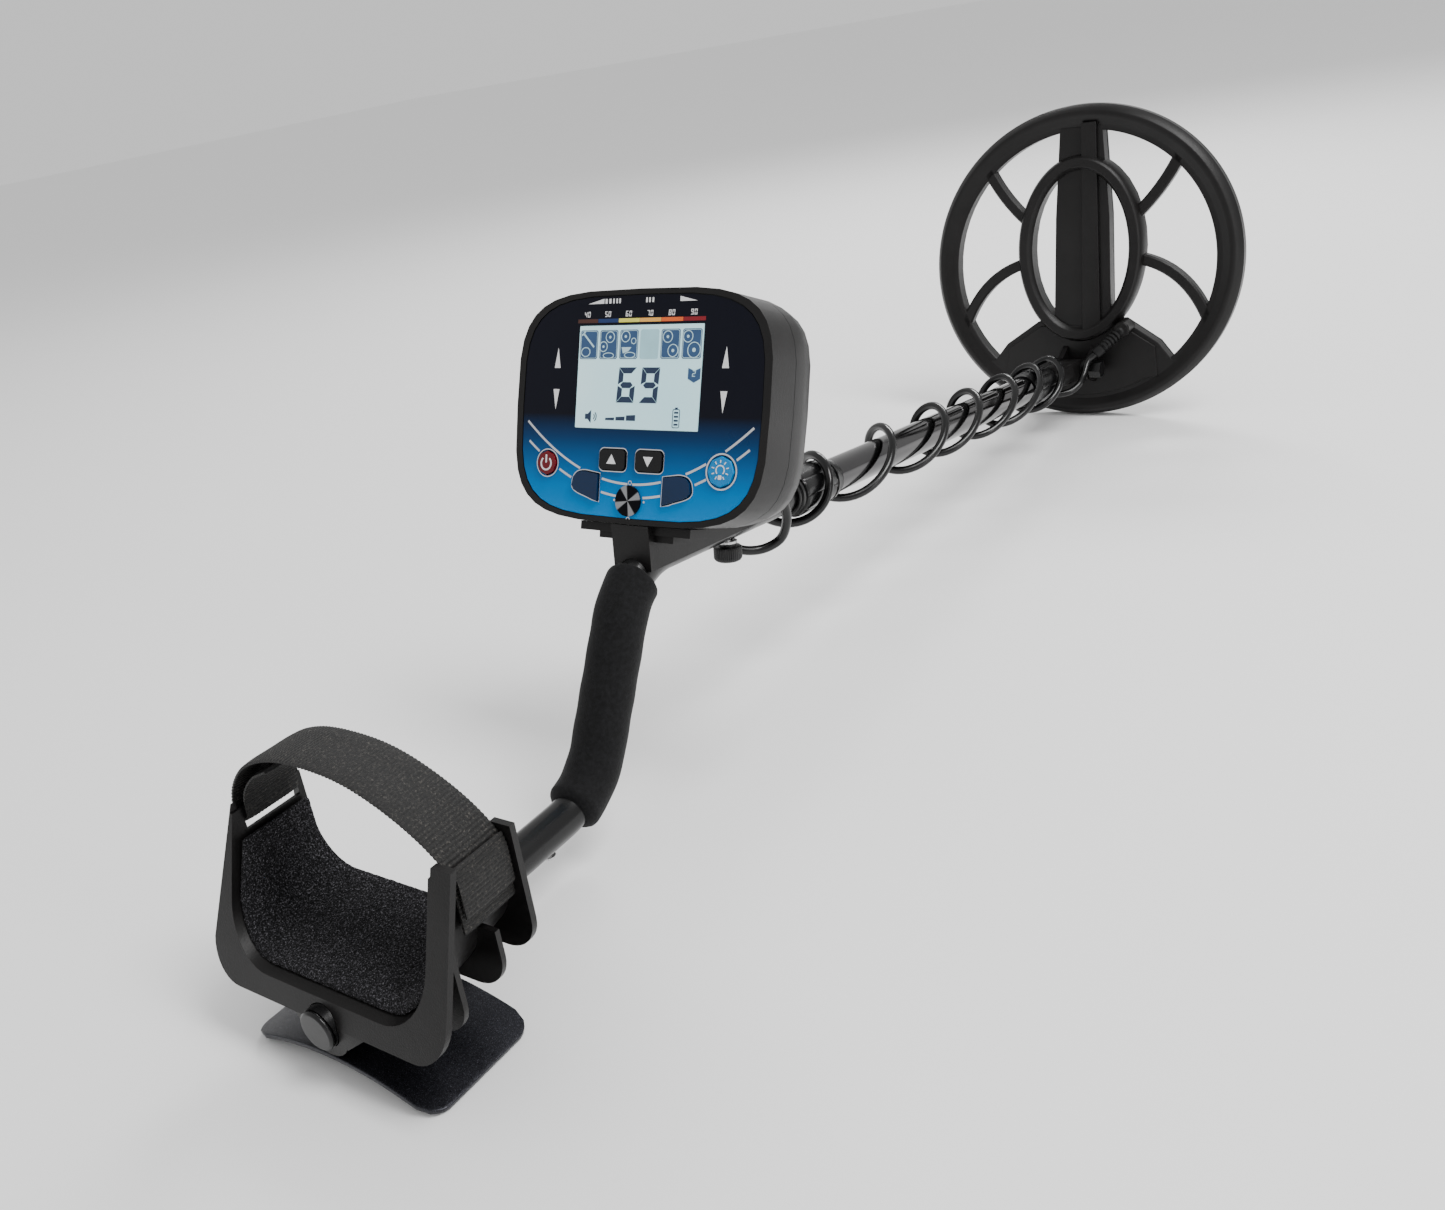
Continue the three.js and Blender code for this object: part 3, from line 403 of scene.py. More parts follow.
MATERIALS = {
    "black_tube": powder_coat(),
    "gloss_tube": dark_chrome(),
    "charcoal_plastic": moulded("charcoal_plastic", (0.0062, 0.0057, 0.0057), 0.36, 0.00006, 0.24),
    "black_plastic": moulded("black_plastic", (0.0035, 0.0035, 0.0037), 0.25, 0.00003, 0.34),
    "foam": foam_skin(),
    "grip": grip_skin(),
    "webbing": webbing_cloth(),
    "stand_metal": sparkle_paint(),
    "panel": panel_print(),
    "lcd": glowing("display_surface", (0.47, 0.77, 0.84), 0.3, (0.58, 0.84, 0.88)),
    "lcd_inside": ink("display_housing", (0.4, 0.45, 0.45)),
    "board": ink("solder_mask", (0.01, 0.1, 0.04)),
    "rubber": moulded("moulded_rubber", (0.004, 0.004, 0.0042), 0.38, 0.00003),
    "cable_jacket": moulded("cable_jacket", (0.002, 0.002, 0.0022), 0.2, 0.000012, 0.36),
    "key_black": ink("key_black", (0.002, 0.002, 0.0025), 0.25),
    "key_red": ink("key_red", (0.13, 0.002, 0.006), 0.28),
    "key_blue": ink("key_navy", (0.001, 0.016, 0.055), 0.28),
    "key_bright": ink("key_bright_blue", (0.0, 0.19, 0.48), 0.28),
    "steel": metal("plated_steel", (0.6, 0.6, 0.6), 0.28),
    "silver": metal("silver_print", (0.78, 0.79, 0.81), 0.22, 150),
    "battery": metal("battery_wrap", (0.35, 0.35, 0.36), 0.4),
    "copper": metal("enamelled_copper", (0.55, 0.24, 0.1), 0.3),
    "badge": badge_painted_reflection(),
    "white": ink("white_print", (0.75, 0.75, 0.76)),
    "lcd_dark": ink("display_dark", (0.018, 0.034, 0.075)),
    "lcd_tile": ink("display_tile", (0.035, 0.085, 0.19)),
    "lcd_pale": ink("display_pale", (0.5, 0.72, 0.8)),
    "lcd_faint": ink("display_faint", (0.4, 0.68, 0.76)),
}


# ---------------------------------------------------------------- meshes
def smooth_by_angle(obj, angle=35):
    """Rounds the shading except at real edges."""
    mesh = obj.data
    mesh.polygons.foreach_set("use_smooth", [True] * len(mesh.polygons))
    made = bmesh.new()
    made.from_mesh(mesh)
    for edge in made.edges:
        edge.smooth = len(edge.link_faces) == 2 and edge.calc_face_angle(0) < math.radians(angle)
    made.to_mesh(mesh)
    made.free()


def piece(name, shape, material, body=None, replaces=(), angle=35):
    """A mesh object of (vertices, faces), with its material and its body; the CAD nodes it stands for are
    hidden.
    """
    verts, faces = shape
    mesh = bpy.data.meshes.new(name)
    mesh.from_pydata([tuple(v) for v in verts], [], faces)
    mesh.materials.append(MATERIALS[material])
    made = bmesh.new()
    made.from_mesh(mesh)
    bmesh.ops.remove_doubles(made, verts=made.verts, dist=1e-7)
    bmesh.ops.recalc_face_normals(made, faces=made.faces)
    made.to_mesh(mesh)
    made.free()
    obj = bpy.data.objects.new(name, mesh)
    bpy.context.scene.collection.objects.link(obj)
    smooth_by_angle(obj, angle)
    if replaces:
        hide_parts(*replaces)
    if body:
        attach(obj, body)
    return obj


def apply_modifiers(obj):
    """Writes the modifiers' result into the mesh."""
    graph = bpy.context.evaluated_depsgraph_get()
    mesh = bpy.data.meshes.new_from_object(obj.evaluated_get(graph))
    obj.modifiers.clear()
    obj.data = mesh


def weigh_normals(obj):
    """Keeps broad flat faces flat in shading, with the change of direction inside their bevels."""
    weighted = obj.modifiers.new("normals", "WEIGHTED_NORMAL")
    weighted.mode = "FACE_AREA"
    weighted.weight = 80
    weighted.keep_sharp = True
    apply_modifiers(obj)


def copy_of(node, name):
    """A free copy of a CAD node, to be reshaped and to stand for it."""
    source = frame["nodes"][node]
    obj = source.copy()
    obj.data = source.data.copy()
    obj.name = name
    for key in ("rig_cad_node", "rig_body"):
        del obj[key]
    obj.parent = None
    bpy.context.scene.collection.objects.link(obj)
    return obj


def refined(node, material, width):
    """A copy of a CAD node with its hard edges rounded over."""
    obj = copy_of(node, node + "_finished")
    made = bmesh.new()
    made.from_mesh(obj.data)
    bmesh.ops.remove_doubles(made, verts=made.verts, dist=2e-6)
    bmesh.ops.dissolve_limit(made, angle_limit=math.radians(1.5), verts=made.verts, edges=made.edges)
    bmesh.ops.dissolve_degenerate(made, dist=2e-6, edges=made.edges)
    made.to_mesh(obj.data)
    made.free()
    bevel = obj.modifiers.new("bevel", "BEVEL")
    bevel.width = width
    bevel.segments = 2
    bevel.limit_method = "ANGLE"
    bevel.angle_limit = math.radians(38)
    bevel.miter_outer = "MITER_ARC"
    apply_modifiers(obj)
    obj.data.materials.clear()
    obj.data.materials.append(MATERIALS[material])
    smooth_by_angle(obj, 40)
    weigh_normals(obj)
    body = frame["nodes"][node]["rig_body"]
    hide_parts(node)
    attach(obj, body)


def ring_faces(rings, count, closed_section=True):
    """Faces round a closed row of sections with count points each."""
    faces = []
    for i in range(rings):
        j = (i + 1) % rings
        for k in range(count if closed_section else count - 1):
            n = (k + 1) % count
            faces.append((i * count + k, j * count + k, j * count + n, i * count + n))
    return faces


def sleeve_faces(last, count):
    """Faces along an open row of closed sections, numbered to last, with count points each."""
    faces = []
    for i in range(0, last * count, count):
        for k in range(count):
            n = (k + 1) % count
            faces.append((i + k, i + n, i + count + n, i + count + k))
    return faces


def lathe(profile, frame_matrix, sides=64, ripple=None):
    """Vertices and faces of a turned body from (radius, z) points; ripple changes the radius by angle."""
    verts = []
    for i in range(sides):
        angle = 2 * math.pi * i / sides
        for r, z in profile:
            radius = r + (ripple(angle, r) if ripple else 0)
            verts.append(frame_matrix @ Vector((radius * math.cos(angle), radius * math.sin(angle), z)))
    return verts, ring_faces(sides, len(profile), False)


def tube(points, radius, sides=20, closed_ends=True):
    """Vertices and faces of a round tube along points; radius is a number or a function of progress."""
    verts = []
    last = len(points) - 1
    side = None
    for i, point in enumerate(points):
        way = (points[min(i + 1, last)] - points[max(i - 1, 0)]).normalized()
        if side is None:
            side = way.cross(Vector((0.3, 0.1, 1))).normalized()
        side = (side - way * side.dot(way)).normalized()
        other = way.cross(side)
        r = radius(i / last) if callable(radius) else radius
        for k in range(sides):
            angle = 2 * math.pi * k / sides
            verts.append(point + (side * math.cos(angle) + other * math.sin(angle)) * r)
    faces = sleeve_faces(last, sides)
    if closed_ends:
        faces.append(tuple(range(sides))[::-1])
        faces.append(tuple(last * sides + k for k in range(sides)))
    return verts, faces


def merged(parts):
    """Several (vertices, faces) pairs as one."""
    verts, faces = [], []
    for some_verts, some_faces in parts:
        start = len(verts)
        verts += some_verts
        faces += [tuple(start + i for i in face) for face in some_faces]
    return verts, faces


def prism(outline, z0, z1, matrix=PANEL):
    """Vertices and faces of an outline of (x, y) points between two heights of a local frame."""
    count = len(outline)
    verts = [matrix @ Vector((x, y, z)) for z in (z0, z1) for x, y in outline]
    faces = [tuple(range(count))[::-1], tuple(range(count, 2 * count))]
    faces += [(i, (i + 1) % count, count + (i + 1) % count, count + i) for i in range(count)]
    return verts, faces


def catmull(points, per=8):
    """A smooth line through points, with per samples between each two (centripetal)."""
    ends = [points[0] * 2 - points[1], *points, points[-1] * 2 - points[-2]]
    line = []
    for p0, p1, p2, p3 in zip(ends, ends[1:], ends[2:], ends[3:]):
        k1 = math.sqrt((p1 - p0).length)
        k2 = k1 + math.sqrt((p2 - p1).length)
        k3 = k2 + math.sqrt((p3 - p2).length)
        for i in range(per):
            t = k1 + (k2 - k1) * i / per
            a = p0.lerp(p1, t / k1)
            b = p1.lerp(p2, (t - k1) / (k2 - k1))
            c = p2.lerp(p3, (t - k2) / (k3 - k2))
            d = a.lerp(b, t / k2)
            e = b.lerp(c, (t - k1) / (k3 - k1))
            line.append(d.lerp(e, (t - k1) / (k2 - k1)))
    line.append(points[-1])
    return line


def lengths_along(line):
    """The length from a line's start to each of its points."""
    lengths = [0]
    for a, b in zip(line, line[1:]):
        lengths.append(lengths[-1] + (b - a).length)
    return lengths


def point_at(line, lengths, want):
    """The point at a length along a line, and the number of the stretch that it is on."""
    k = min(max(j for j, length in enumerate(lengths) if length <= want + 1e-9), len(line) - 2)
    return line[k].lerp(line[k + 1], (want - lengths[k]) / (lengths[k + 1] - lengths[k])), k


# ---------------------------------------------------------------- cable
WINDING_R = 17.3
HALF_TURNS = [160, 191, 227, 282, 309, 361, 366, 421, 430, 487, 478, 542, 539, 581]
CABLE_R = 0.0027
CABLE_TAIL = [
    (25.3, 334, 144), (25.5, 350, 134.5), (24.5, 360.5, 122.5), (20.5, 367, 107), (14, 368, 96),
    (6, 360.5, 92.5), (-3, 351.5, 95.5), (-11, 350, 102), (-16, 358, 109.5), (-17.3, 371, 112.5),
]
CABLE_LEAD = [
    (-12.5, 828, 63.5), (-15.5, 832, 51.5), (-9.5, 838, 40), (0, 843, 35.5), (9, 849, 36),
    (14, 857, 40), (15, 865, 45),
]
SOCKET = (25, -46)
GLAND_BOSS = COIL @ Vector((38, -52, 12))
GLAND_TIP = COIL @ Vector((20, -70, 27))
GLAND_WAY = (GLAND_TIP - GLAND_BOSS).normalized()


def crossing(half_turns):
    """Where the winding crosses the shaft after some number of half turns."""
    last = len(HALF_TURNS) - 1

    def at(i):
        return HALF_TURNS[0] + 40 * i if i < 0 else HALF_TURNS[min(i, last)]

    i = math.floor(half_turns)
    t = half_turns - i
    a, b, c, d = (at(i + k) for k in (-1, 0, 1, 2))
    return 0.5 * (
        2 * b + (c - a) * t + (2 * a - 5 * b + 4 * c - d) * t * t + (3 * b - a - 3 * c + d) * t ** 3
    )


def winding(start, end, per=22):
    """Points of the winding between two numbers of half turns."""
    count = round((end - start) * per)
    line = []
    for i in range(count + 1):
        k = start + (end - start) * i / count
        angle = k * math.pi
        line.append(SHAFT @ Vector((WINDING_R * math.sin(angle), WINDING_R * math.cos(angle), crossing(k))))
    return line


def add_cable():
    """One cable from the box to the coil, cut only where the moving bodies meet."""
    out = [PANEL @ Vector((*SOCKET, z)) for z in (-52.5, -59)]
    before = winding(-0.5, -0.3, 10)
    tail = catmull([*out, *(mm(*p) for p in CABLE_TAIL), before[0], before[1]], 10)[:-10]
    last = len(HALF_TURNS) - 1
    after = winding(last - 0.1, last, 20)
    ending = [GLAND_TIP + GLAND_WAY * 6 * MM, GLAND_TIP - GLAND_WAY * 2 * MM]
    lead = catmull([after[0], after[-1], *(mm(*p) for p in CABLE_LEAD), *ending], 10)[10:]
    runs = {
        "cable_box_end": (tail, "cable_tail"),
        "cable_rear_turns": (winding(-0.5, 6.5), "cable_winding"),
        "cable_front_turns": (winding(6.5, last), "cable_winding"),
        "cable_coil_end": (lead, "cable_lead"),
    }
    made = {}
    for name, (line, node) in runs.items():
        made[name] = piece(
            name, tube(line, CABLE_R, 16), "cable_jacket", replaces=(node,), angle=50,
        )
    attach(made["cable_box_end"], "handle")

    def place(s):
        return SHAFT @ Vector((0, 0, s))

    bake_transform(made["cable_rear_turns"])
    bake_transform(made["cable_front_turns"])
    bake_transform(made["cable_coil_end"])
    length = sum((b - a).length for line, _ in runs.values() for a, b in zip(line, line[1:]))
    print("cable length", round(length, 3))


def add_gland():
    """The ribbed strain relief on the coil."""
    span = (GLAND_TIP - GLAND_BOSS).length / MM
    side = GLAND_WAY.cross(Vector((0, 0, 1))).normalized()
    matrix = axes(side, GLAND_WAY.cross(side), GLAND_WAY, GLAND_BOSS)
    profile = [(0, 1), (5.2, 1), (5.4, 3)]
    start, pitch, ribs = 6.2, 3.1, 5
    for i in range(ribs):
        z = start + i * pitch
        r = 5.3 - 0.22 * i
        profile += [(3.7, z - 0.7), (3.7, z), (r, z + 0.4), (r, z + 1.5), (r - 0.4, z + 1.9)]
    tail = start + ribs * pitch
    profile += [
        (3.4, tail), (4.7, tail + 0.8), (4.6, span - 2.5), (4.1, span - 0.3), (3.4, span),
        (2.9, span - 1.2), (0, span - 1.2),
    ]
    piece("ribbed_gland", lathe(profile, matrix, 40), "rubber", "coil", ("cable_gland",), 30)


# ---------------------------------------------------------------- tubes, grip and collars
def tube_line(start, end, step=2.5):
    """The bent tube's centreline between two lengths along it, in metres."""
    corners = [mm(0, 2.5, 27.5), mm(0, 187, 29.5), mm(0, 248.5, 128.6), SHAFT @ Vector((0, 0, 369.6))]
    radius = 45 * MM
    line = [corners[0]]
    for a, b, c in zip(corners, corners[1:], corners[2:]):
        before, after = (b - a).normalized(), (c - b).normalized()
        angle = before.angle(after)
        run = radius * math.tan(angle / 2)
        inward = (after - before * before.dot(after)).normalized()
        enter = b - before * run
        centre = enter + inward * radius
        turns = 18
        for i in range(turns + 1):
            t = angle * i / turns
            line.append(centre - inward * radius * math.cos(t) + before * radius * math.sin(t))
    line.append(corners[-1])
    lengths = [length / MM for length in lengths_along(line)]
    end = min(end, lengths[-1])
    count = max(2, round((end - start) / step))
    found = []
    for i in range(count + 1):
        want = start + (end - start) * i / count
        found.append(point_at(line, lengths, want)[0])
    return found


def pipe(line, outer, inner, sides):
    """A tube with a bore and ring-shaped ends."""
    outside, shell = tube(line, outer, sides, False)
    inside, bore = tube(line, inner, sides, False)
    count = len(outside)
    faces = shell + [tuple(count + i for i in face)[::-1] for face in bore]
    last = (len(line) - 1) * sides
    for k in range(sides):
        n = (k + 1) % sides
        faces.append((k, count + k, count + n, n))
        faces.append((last + k, last + n, count + last + n, count + last + k))
    return outside + inside, faces


def add_tubes():
    """The bent upper tube and the polished telescopic tube."""
    piece(
        "bent_tube", pipe(tube_line(0, 2000), 9.5 * MM, 8.3 * MM, 56), "black_tube", "handle",
        ("upper_tube",),
    )
    edge = [
        (9.8, 168.3), (10.6, 168), (10.9, 168.4), (10.9, 548.6), (10.6, 549), (9.8, 548.7), (9.8, 168.3),
    ]
    piece("telescopic_tube", lathe(edge, SHAFT, 72), "gloss_tube", "mid_tube", ("mid_tube",))


def add_grip():
    """The foam hand grip, with rolled ends and slight compression rings."""
    start, end = 168, 294
    line = tube_line(start, end, 1.5)

    def radius(t):
        from_end = min(t, 1 - t) * (end - start)
        rolled = 4.2 * (1 - min(1, from_end / 4.5)) ** 2
        return (13.9 - rolled + 0.12 * math.sin(t * 40)) * MM

    grip = piece("hand_grip", tube(line, radius, 56), "grip", "handle", ("grip_foam",), 60)


def collar_ripple(angle, r):
    """Eight broad flutes and fine grooves between them, on the gripping band only."""
    if r < 13.3:
        return 0
    flute = abs(math.sin(4 * angle))
    return 0.75 * flute ** 0.5 - 0.75


def add_collar(name, node, tail, mouth):
    """A twist collar: stepped rings at its tail and long ribs on its body."""
    way = 1 if mouth > tail else -1
    steps = [
        (9.9, 0), (11.3, 0), (11.8, 0.6), (11.8, 2.6), (12.7, 3), (12.7, 5.2), (11.9, 5.6), (11.9, 6.8),
        (13, 7.2), (13.9, 8.2),
    ]
    length = abs(mouth - tail)
    body = [(14.0, 9.2 + (length - 12.5) * i / 12) for i in range(13)]
    rim = [
        (13.4, length - 2.2), (13.2, length - 0.5), (12.9, length), (12.5, length), (12.5, 15), (9.9, 15),
        (9.9, 0),
    ]
    profile = [(r, tail + way * z) for r, z in steps + body + rim]
    piece(
        name, lathe(profile, SHAFT, 192, collar_ripple), "black_plastic", node, (node,),
        28,
    )


def add_knob():
    """The knurled thumb knob under the tube."""
    origin = SHAFT @ Vector((0, 0, 90.3))
    matrix = axes(Vector((1, 0, 0)), SHAFT_DIR, SHAFT_UP, origin)
    profile = [(0, -21.4), (6.2, -21.4), (7.2, -20.8), (7.9, -19.8)]
    profile += [(8, -19.4 + 0.5 * i) for i in range(12)]
    profile += [
        (7.7, -13.2), (6.9, -12.7), (4.9, -12.6), (4.8, -11.5), (2.5, -11.4), (2.5, -19.4), (0, -19.4),
    ]

    def knurl(angle, r):
        return 0.28 * abs(math.sin(angle * 20)) - 0.28 if r > 7.6 else 0

    piece(
        "knurled_knob", lathe(profile, matrix, 240, knurl), "black_plastic", "thumb_knob",
        ("thumb_knob",), 30,
    )


# ---------------------------------------------------------------- armrest pad, strap and stand
def add_pad():
    """The open-cell foam pad: the CAD channel, finely divided and roughened in its mesh."""
    obj = copy_of("armrest_pad", "foam_pad")
    remesh = obj.modifiers.new("remesh", "REMESH")
    remesh.mode = "VOXEL"
    remesh.voxel_size = 0.0009
    apply_modifiers(obj)
    for vertex, normal in zip(obj.data.vertices, [v.normal.copy() for v in obj.data.vertices]):
        at = vertex.co * 620
        cell = noise.noise(at) * 0.5 + noise.noise(at * 2.3) * 0.35
        vertex.co += normal * (0.00042 * cell - 0.0001)
    obj.data.materials.clear()
    obj.data.materials.append(MATERIALS["foam"])
    obj.data.polygons.foreach_set("use_smooth", [True] * len(obj.data.polygons))
    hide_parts("armrest_pad")
    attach(obj, "handle")


def strap_layer(line, near, far, thick, rib=2.0):
    """Webbing along (x, z) points: cross ribs, a rounded section and a slightly wavy selvedge."""
    path = catmull([Vector((x, 0, z)) for x, z in line], 24)
    lengths = lengths_along(path)
    total = lengths[-1]
    count = int(total / rib * 6)
    columns = 30
    verts, faces = [], []
    for i in range(count + 1):
        want = total * i / count
        point, k = point_at(path, lengths, want)
        way = (path[k + 1] - path[k]).normalized()
        out = Vector((-way.z, 0, way.x))
        bulge = abs(math.sin(math.pi * want / rib)) ** 0.6
        for side in (1, -1):
            for c in range(columns + 1):
                u = c / columns
                edge = min(1, 5 * min(u, 1 - u)) ** 0.5
                row = 0.12 * math.sin(u * columns * math.pi * 0.93)
                height = side * (thick / 2 * (0.55 + 0.45 * edge) - 0.5 * (1 - bulge) + row)
                spread = (u - 0.5) * (far - near + 0.25 * bulge)
                at = point + out * height
                verts.append(mm(at.x, (near + far) / 2 + spread, at.z))
    width = columns + 1
    for i in range(count):
        for c in range(columns):
            a = i * 2 * width + c
            b = a + 2 * width
            faces.append((a, a + 1, b + 1, b))
            faces.append((a + width, b + width, b + width + 1, a + width + 1))
        for c in (0, columns):
            a = i * 2 * width + c
            faces.append((a, a + 2 * width, a + 3 * width, a + width))
    for i in (0, count):
        a = i * 2 * width
        for c in range(columns):
            faces.append((a + c, a + c + 1, a + c + 1 + width, a + c + width))
    return verts, faces


STRAP_LINE = [
    (-64.5, 95.6), (-64.3, 100), (-60, 110), (-48, 122), (-28, 129.5),
    (0, 130.5), (20, 127), (42, 117.5), (57, 107), (63.6, 99),
    (64.6, 88), (64.6, 72),
]
RETURN_LINE = [
    (-64.6, 97), (-63.6, 94), (-60, 93.3), (-57.2, 95.2), (-56.3, 100), (-54, 107.5), (-45, 117),
    (-34, 122.6),
]
FLAP_LINE = [(65.6, 101.5), (67, 96), (67.2, 88), (67.1, 79.5)]


def add_strap():
    """The arm strap: its arch, the end returned through the left slot and the stitched flap on the right."""
    arch = strap_layer(STRAP_LINE, 35, 64.6, 2.2)
    inner = strap_layer(RETURN_LINE, 35.4, 64.2, 1.9)
    flap = strap_layer(FLAP_LINE, 35.6, 64, 1.9)
    strap = piece(
        "arm_strap", merged([arch, inner, flap]), "webbing", "handle", ("armrest_strap",), 60,
    )


def add_stand():
    """The arched foot: a pressed plate with round corners."""
    half, near, far, thick, corner = 56, 4, 66, 1.25, 10
    low = 10.2
    radius = (half * half + low * low) / (2 * low)
    columns, rows = 72, 28
    grid = []
    for j in range(rows + 1):
        v = j / rows
        for i in range(columns + 1):
            u = 2 * i / columns - 1
            y = near + (far - near) * v
            inset = 0
            end = min(y - near, far - y)
            if end < corner:
                inset = corner - math.sqrt(max(0, corner ** 2 - (corner - end) ** 2))
            x = u * (half - inset)
            z = low - radius + math.sqrt(radius * radius - x * x) + thick
            grid.append(Vector((x, y, z)))
    faces = []
    for j in range(rows):
        for i in range(columns):
            a = j * (columns + 1) + i
            faces.append((a, a + 1, a + columns + 2, a + columns + 1))
    verts = [mm(*p) for p in grid]
    made = piece("arched_foot", (verts, faces), "stand_metal", None, ("stand_plate",))
    solidify = made.modifiers.new("thickness", "SOLIDIFY")
    solidify.thickness = 2 * thick * MM
    solidify.offset = 0
    bevel = made.modifiers.new("edge", "BEVEL")
    bevel.width = 0.0006
    bevel.segments = 3
    bevel.angle_limit = math.radians(50)
    apply_modifiers(made)
    lowest = min(v.co.z for v in made.data.vertices)
    for vertex in made.data.vertices:
        vertex.co.z -= lowest
    smooth_by_angle(made, 60)
    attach(made, "handle")


# ---------------------------------------------------------------- panel graphics
def arc(x, y, r, degrees):
    """Points round (x, y) at the given angles."""
    return [(x + r * math.cos(math.radians(a)), y + r * math.sin(math.radians(a))) for a in degrees]


def rectangle(x0, y0, x1, y1):
    return [(x0, y0), (x1, y0), (x1, y1), (x0, y1)]


def circle(x, y, r, count=32):
    return [
        (x + r * math.cos(2 * math.pi * i / count), y + r * math.sin(2 * math.pi * i / count))
        for i in range(count)
    ]


def loop(outline, width, z0, z1):
    """A closed band of even width just outside an outline."""
    count = len(outline)
    verts = []
    for i, (x, y) in enumerate(outline):
        before, after = Vector(outline[i - 1]), Vector(outline[(i + 1) % count])
        way = (after - before).normalized()
        out = Vector((way.y, -way.x))
        for along, z in ((0, z0), (width, z0), (width, z1), (0, z1)):
            verts.append(PANEL @ Vector((x + out.x * along, y + out.y * along, z)))
    return verts, ring_faces(count, 4)


def band(points, width, z0, z1):
    """An open band of even width along (x, y) points."""
    left, right = [], []
    last = len(points) - 1
    for i, (x, y) in enumerate(points):
        way = (Vector(points[min(i + 1, last)]) - Vector(points[max(i - 1, 0)])).normalized()
        left.append((x - way.y * width / 2, y + way.x * width / 2))
        right.append((x + way.y * width / 2, y - way.x * width / 2))
    parts = []
    for i in range(last):
        parts.append(prism([right[i], right[i + 1], left[i + 1], left[i]], z0, z1))
    return merged(parts)


def rounded(w, h, r, x, y, per=5):
    outline = []
    for cx, cy, start in (
        (w / 2 - r, h / 2 - r, 0), (r - w / 2, h / 2 - r, 90), (r - w / 2, r - h / 2, 180),
        (w / 2 - r, r - h / 2, 270),
    ):
        for i in range(per + 1):
            a = math.radians(start + 90 * i / per)
            outline.append((x + cx + r * math.cos(a), y + cy + r * math.sin(a)))
    return outline


SEGMENTS = {
    "0": "abcdef", "1": "bc", "2": "abged", "3": "abgcd", "4": "fgbc",
    "5": "afgcd", "6": "afgecd", "7": "abc", "8": "abcdefg", "9": "abcdfg",
}


def digit(symbol, x, y, w, h, t, z0, z1, slant=0.06):
    """A seven-segment digit whose lower left corner is at x, y."""
    m = h / 2
    gap = t * 0.12
    bars = {
        "a": ((0, h), (w, h), (w - t, h - t), (t, h - t)),
        "d": ((0, 0), (t, t), (w - t, t), (w, 0)),
        "g": (
            (t * 0.5, m), (t, m + t / 2), (w - t, m + t / 2), (w - t * 0.5, m), (w - t, m - t / 2),
            (t, m - t / 2),
        ),
        "f": ((0, h - gap), (t, h - t - gap), (t, m + t / 2 + gap), (0, m + gap)),
        "b": ((w, h - gap), (w, m + gap), (w - t, m + t / 2 + gap), (w - t, h - t - gap)),
        "e": ((0, m - gap), (t, m - t / 2 - gap), (t, t + gap), (0, gap)),
        "c": ((w, m - gap), (w, gap), (w - t, t + gap), (w - t, m - t / 2 - gap)),
    }
    parts = []
    for name in SEGMENTS[symbol]:
        parts.append(prism([(x + px + py * slant, y + py) for px, py in bars[name]], z0, z1))
    return merged(parts)


PRINT = (0.88, 1.0)  # heights of the print above the overlay
GLASS = (0.78, 0.9)  # heights of the display's symbols
ON_KEY = (2.62, 2.76)  # heights of the marks on the keys


def leaf(side, wider=0, taller=0):
    """A side key's outline: round above and outside, pointed below, and grown by shares of its size."""
    x, y, w, h = side * SIDE_KEY_AT[0], SIDE_KEY_AT[1], 8.2, 7.2
    corner = [(x - side * w, y + h * 0.86), (x - side * w, y - h)]
    curve = []
    for i in range(11):
        t = i / 10
        p = [
            (x - side * w * 0.5, y - h * 0.86), (x, y - h * 0.6), (x + side * w, y - h * 0.5),
            (x + side * w, y),
        ]
        curve.append(bezier(p, t))
    for i in range(1, 11):
        p = [(x + side * w, y), (x + side * w, y + h), (x + side * w * 0.4, y + h), (x, y + h)]
        curve.append(bezier(p, i / 10))
    outline = [(px + (px - x) * wider, py + (py - y) * taller) for px, py in corner + curve]
    return outline if side > 0 else outline[::-1]


def bezier(p, t):
    s = 1 - t
    weights = (s ** 3, 3 * s * s * t, 3 * s * t * t, t ** 3)
    return (sum(w * q[0] for w, q in zip(weights, p)), sum(w * q[1] for w, q in zip(weights, p)))


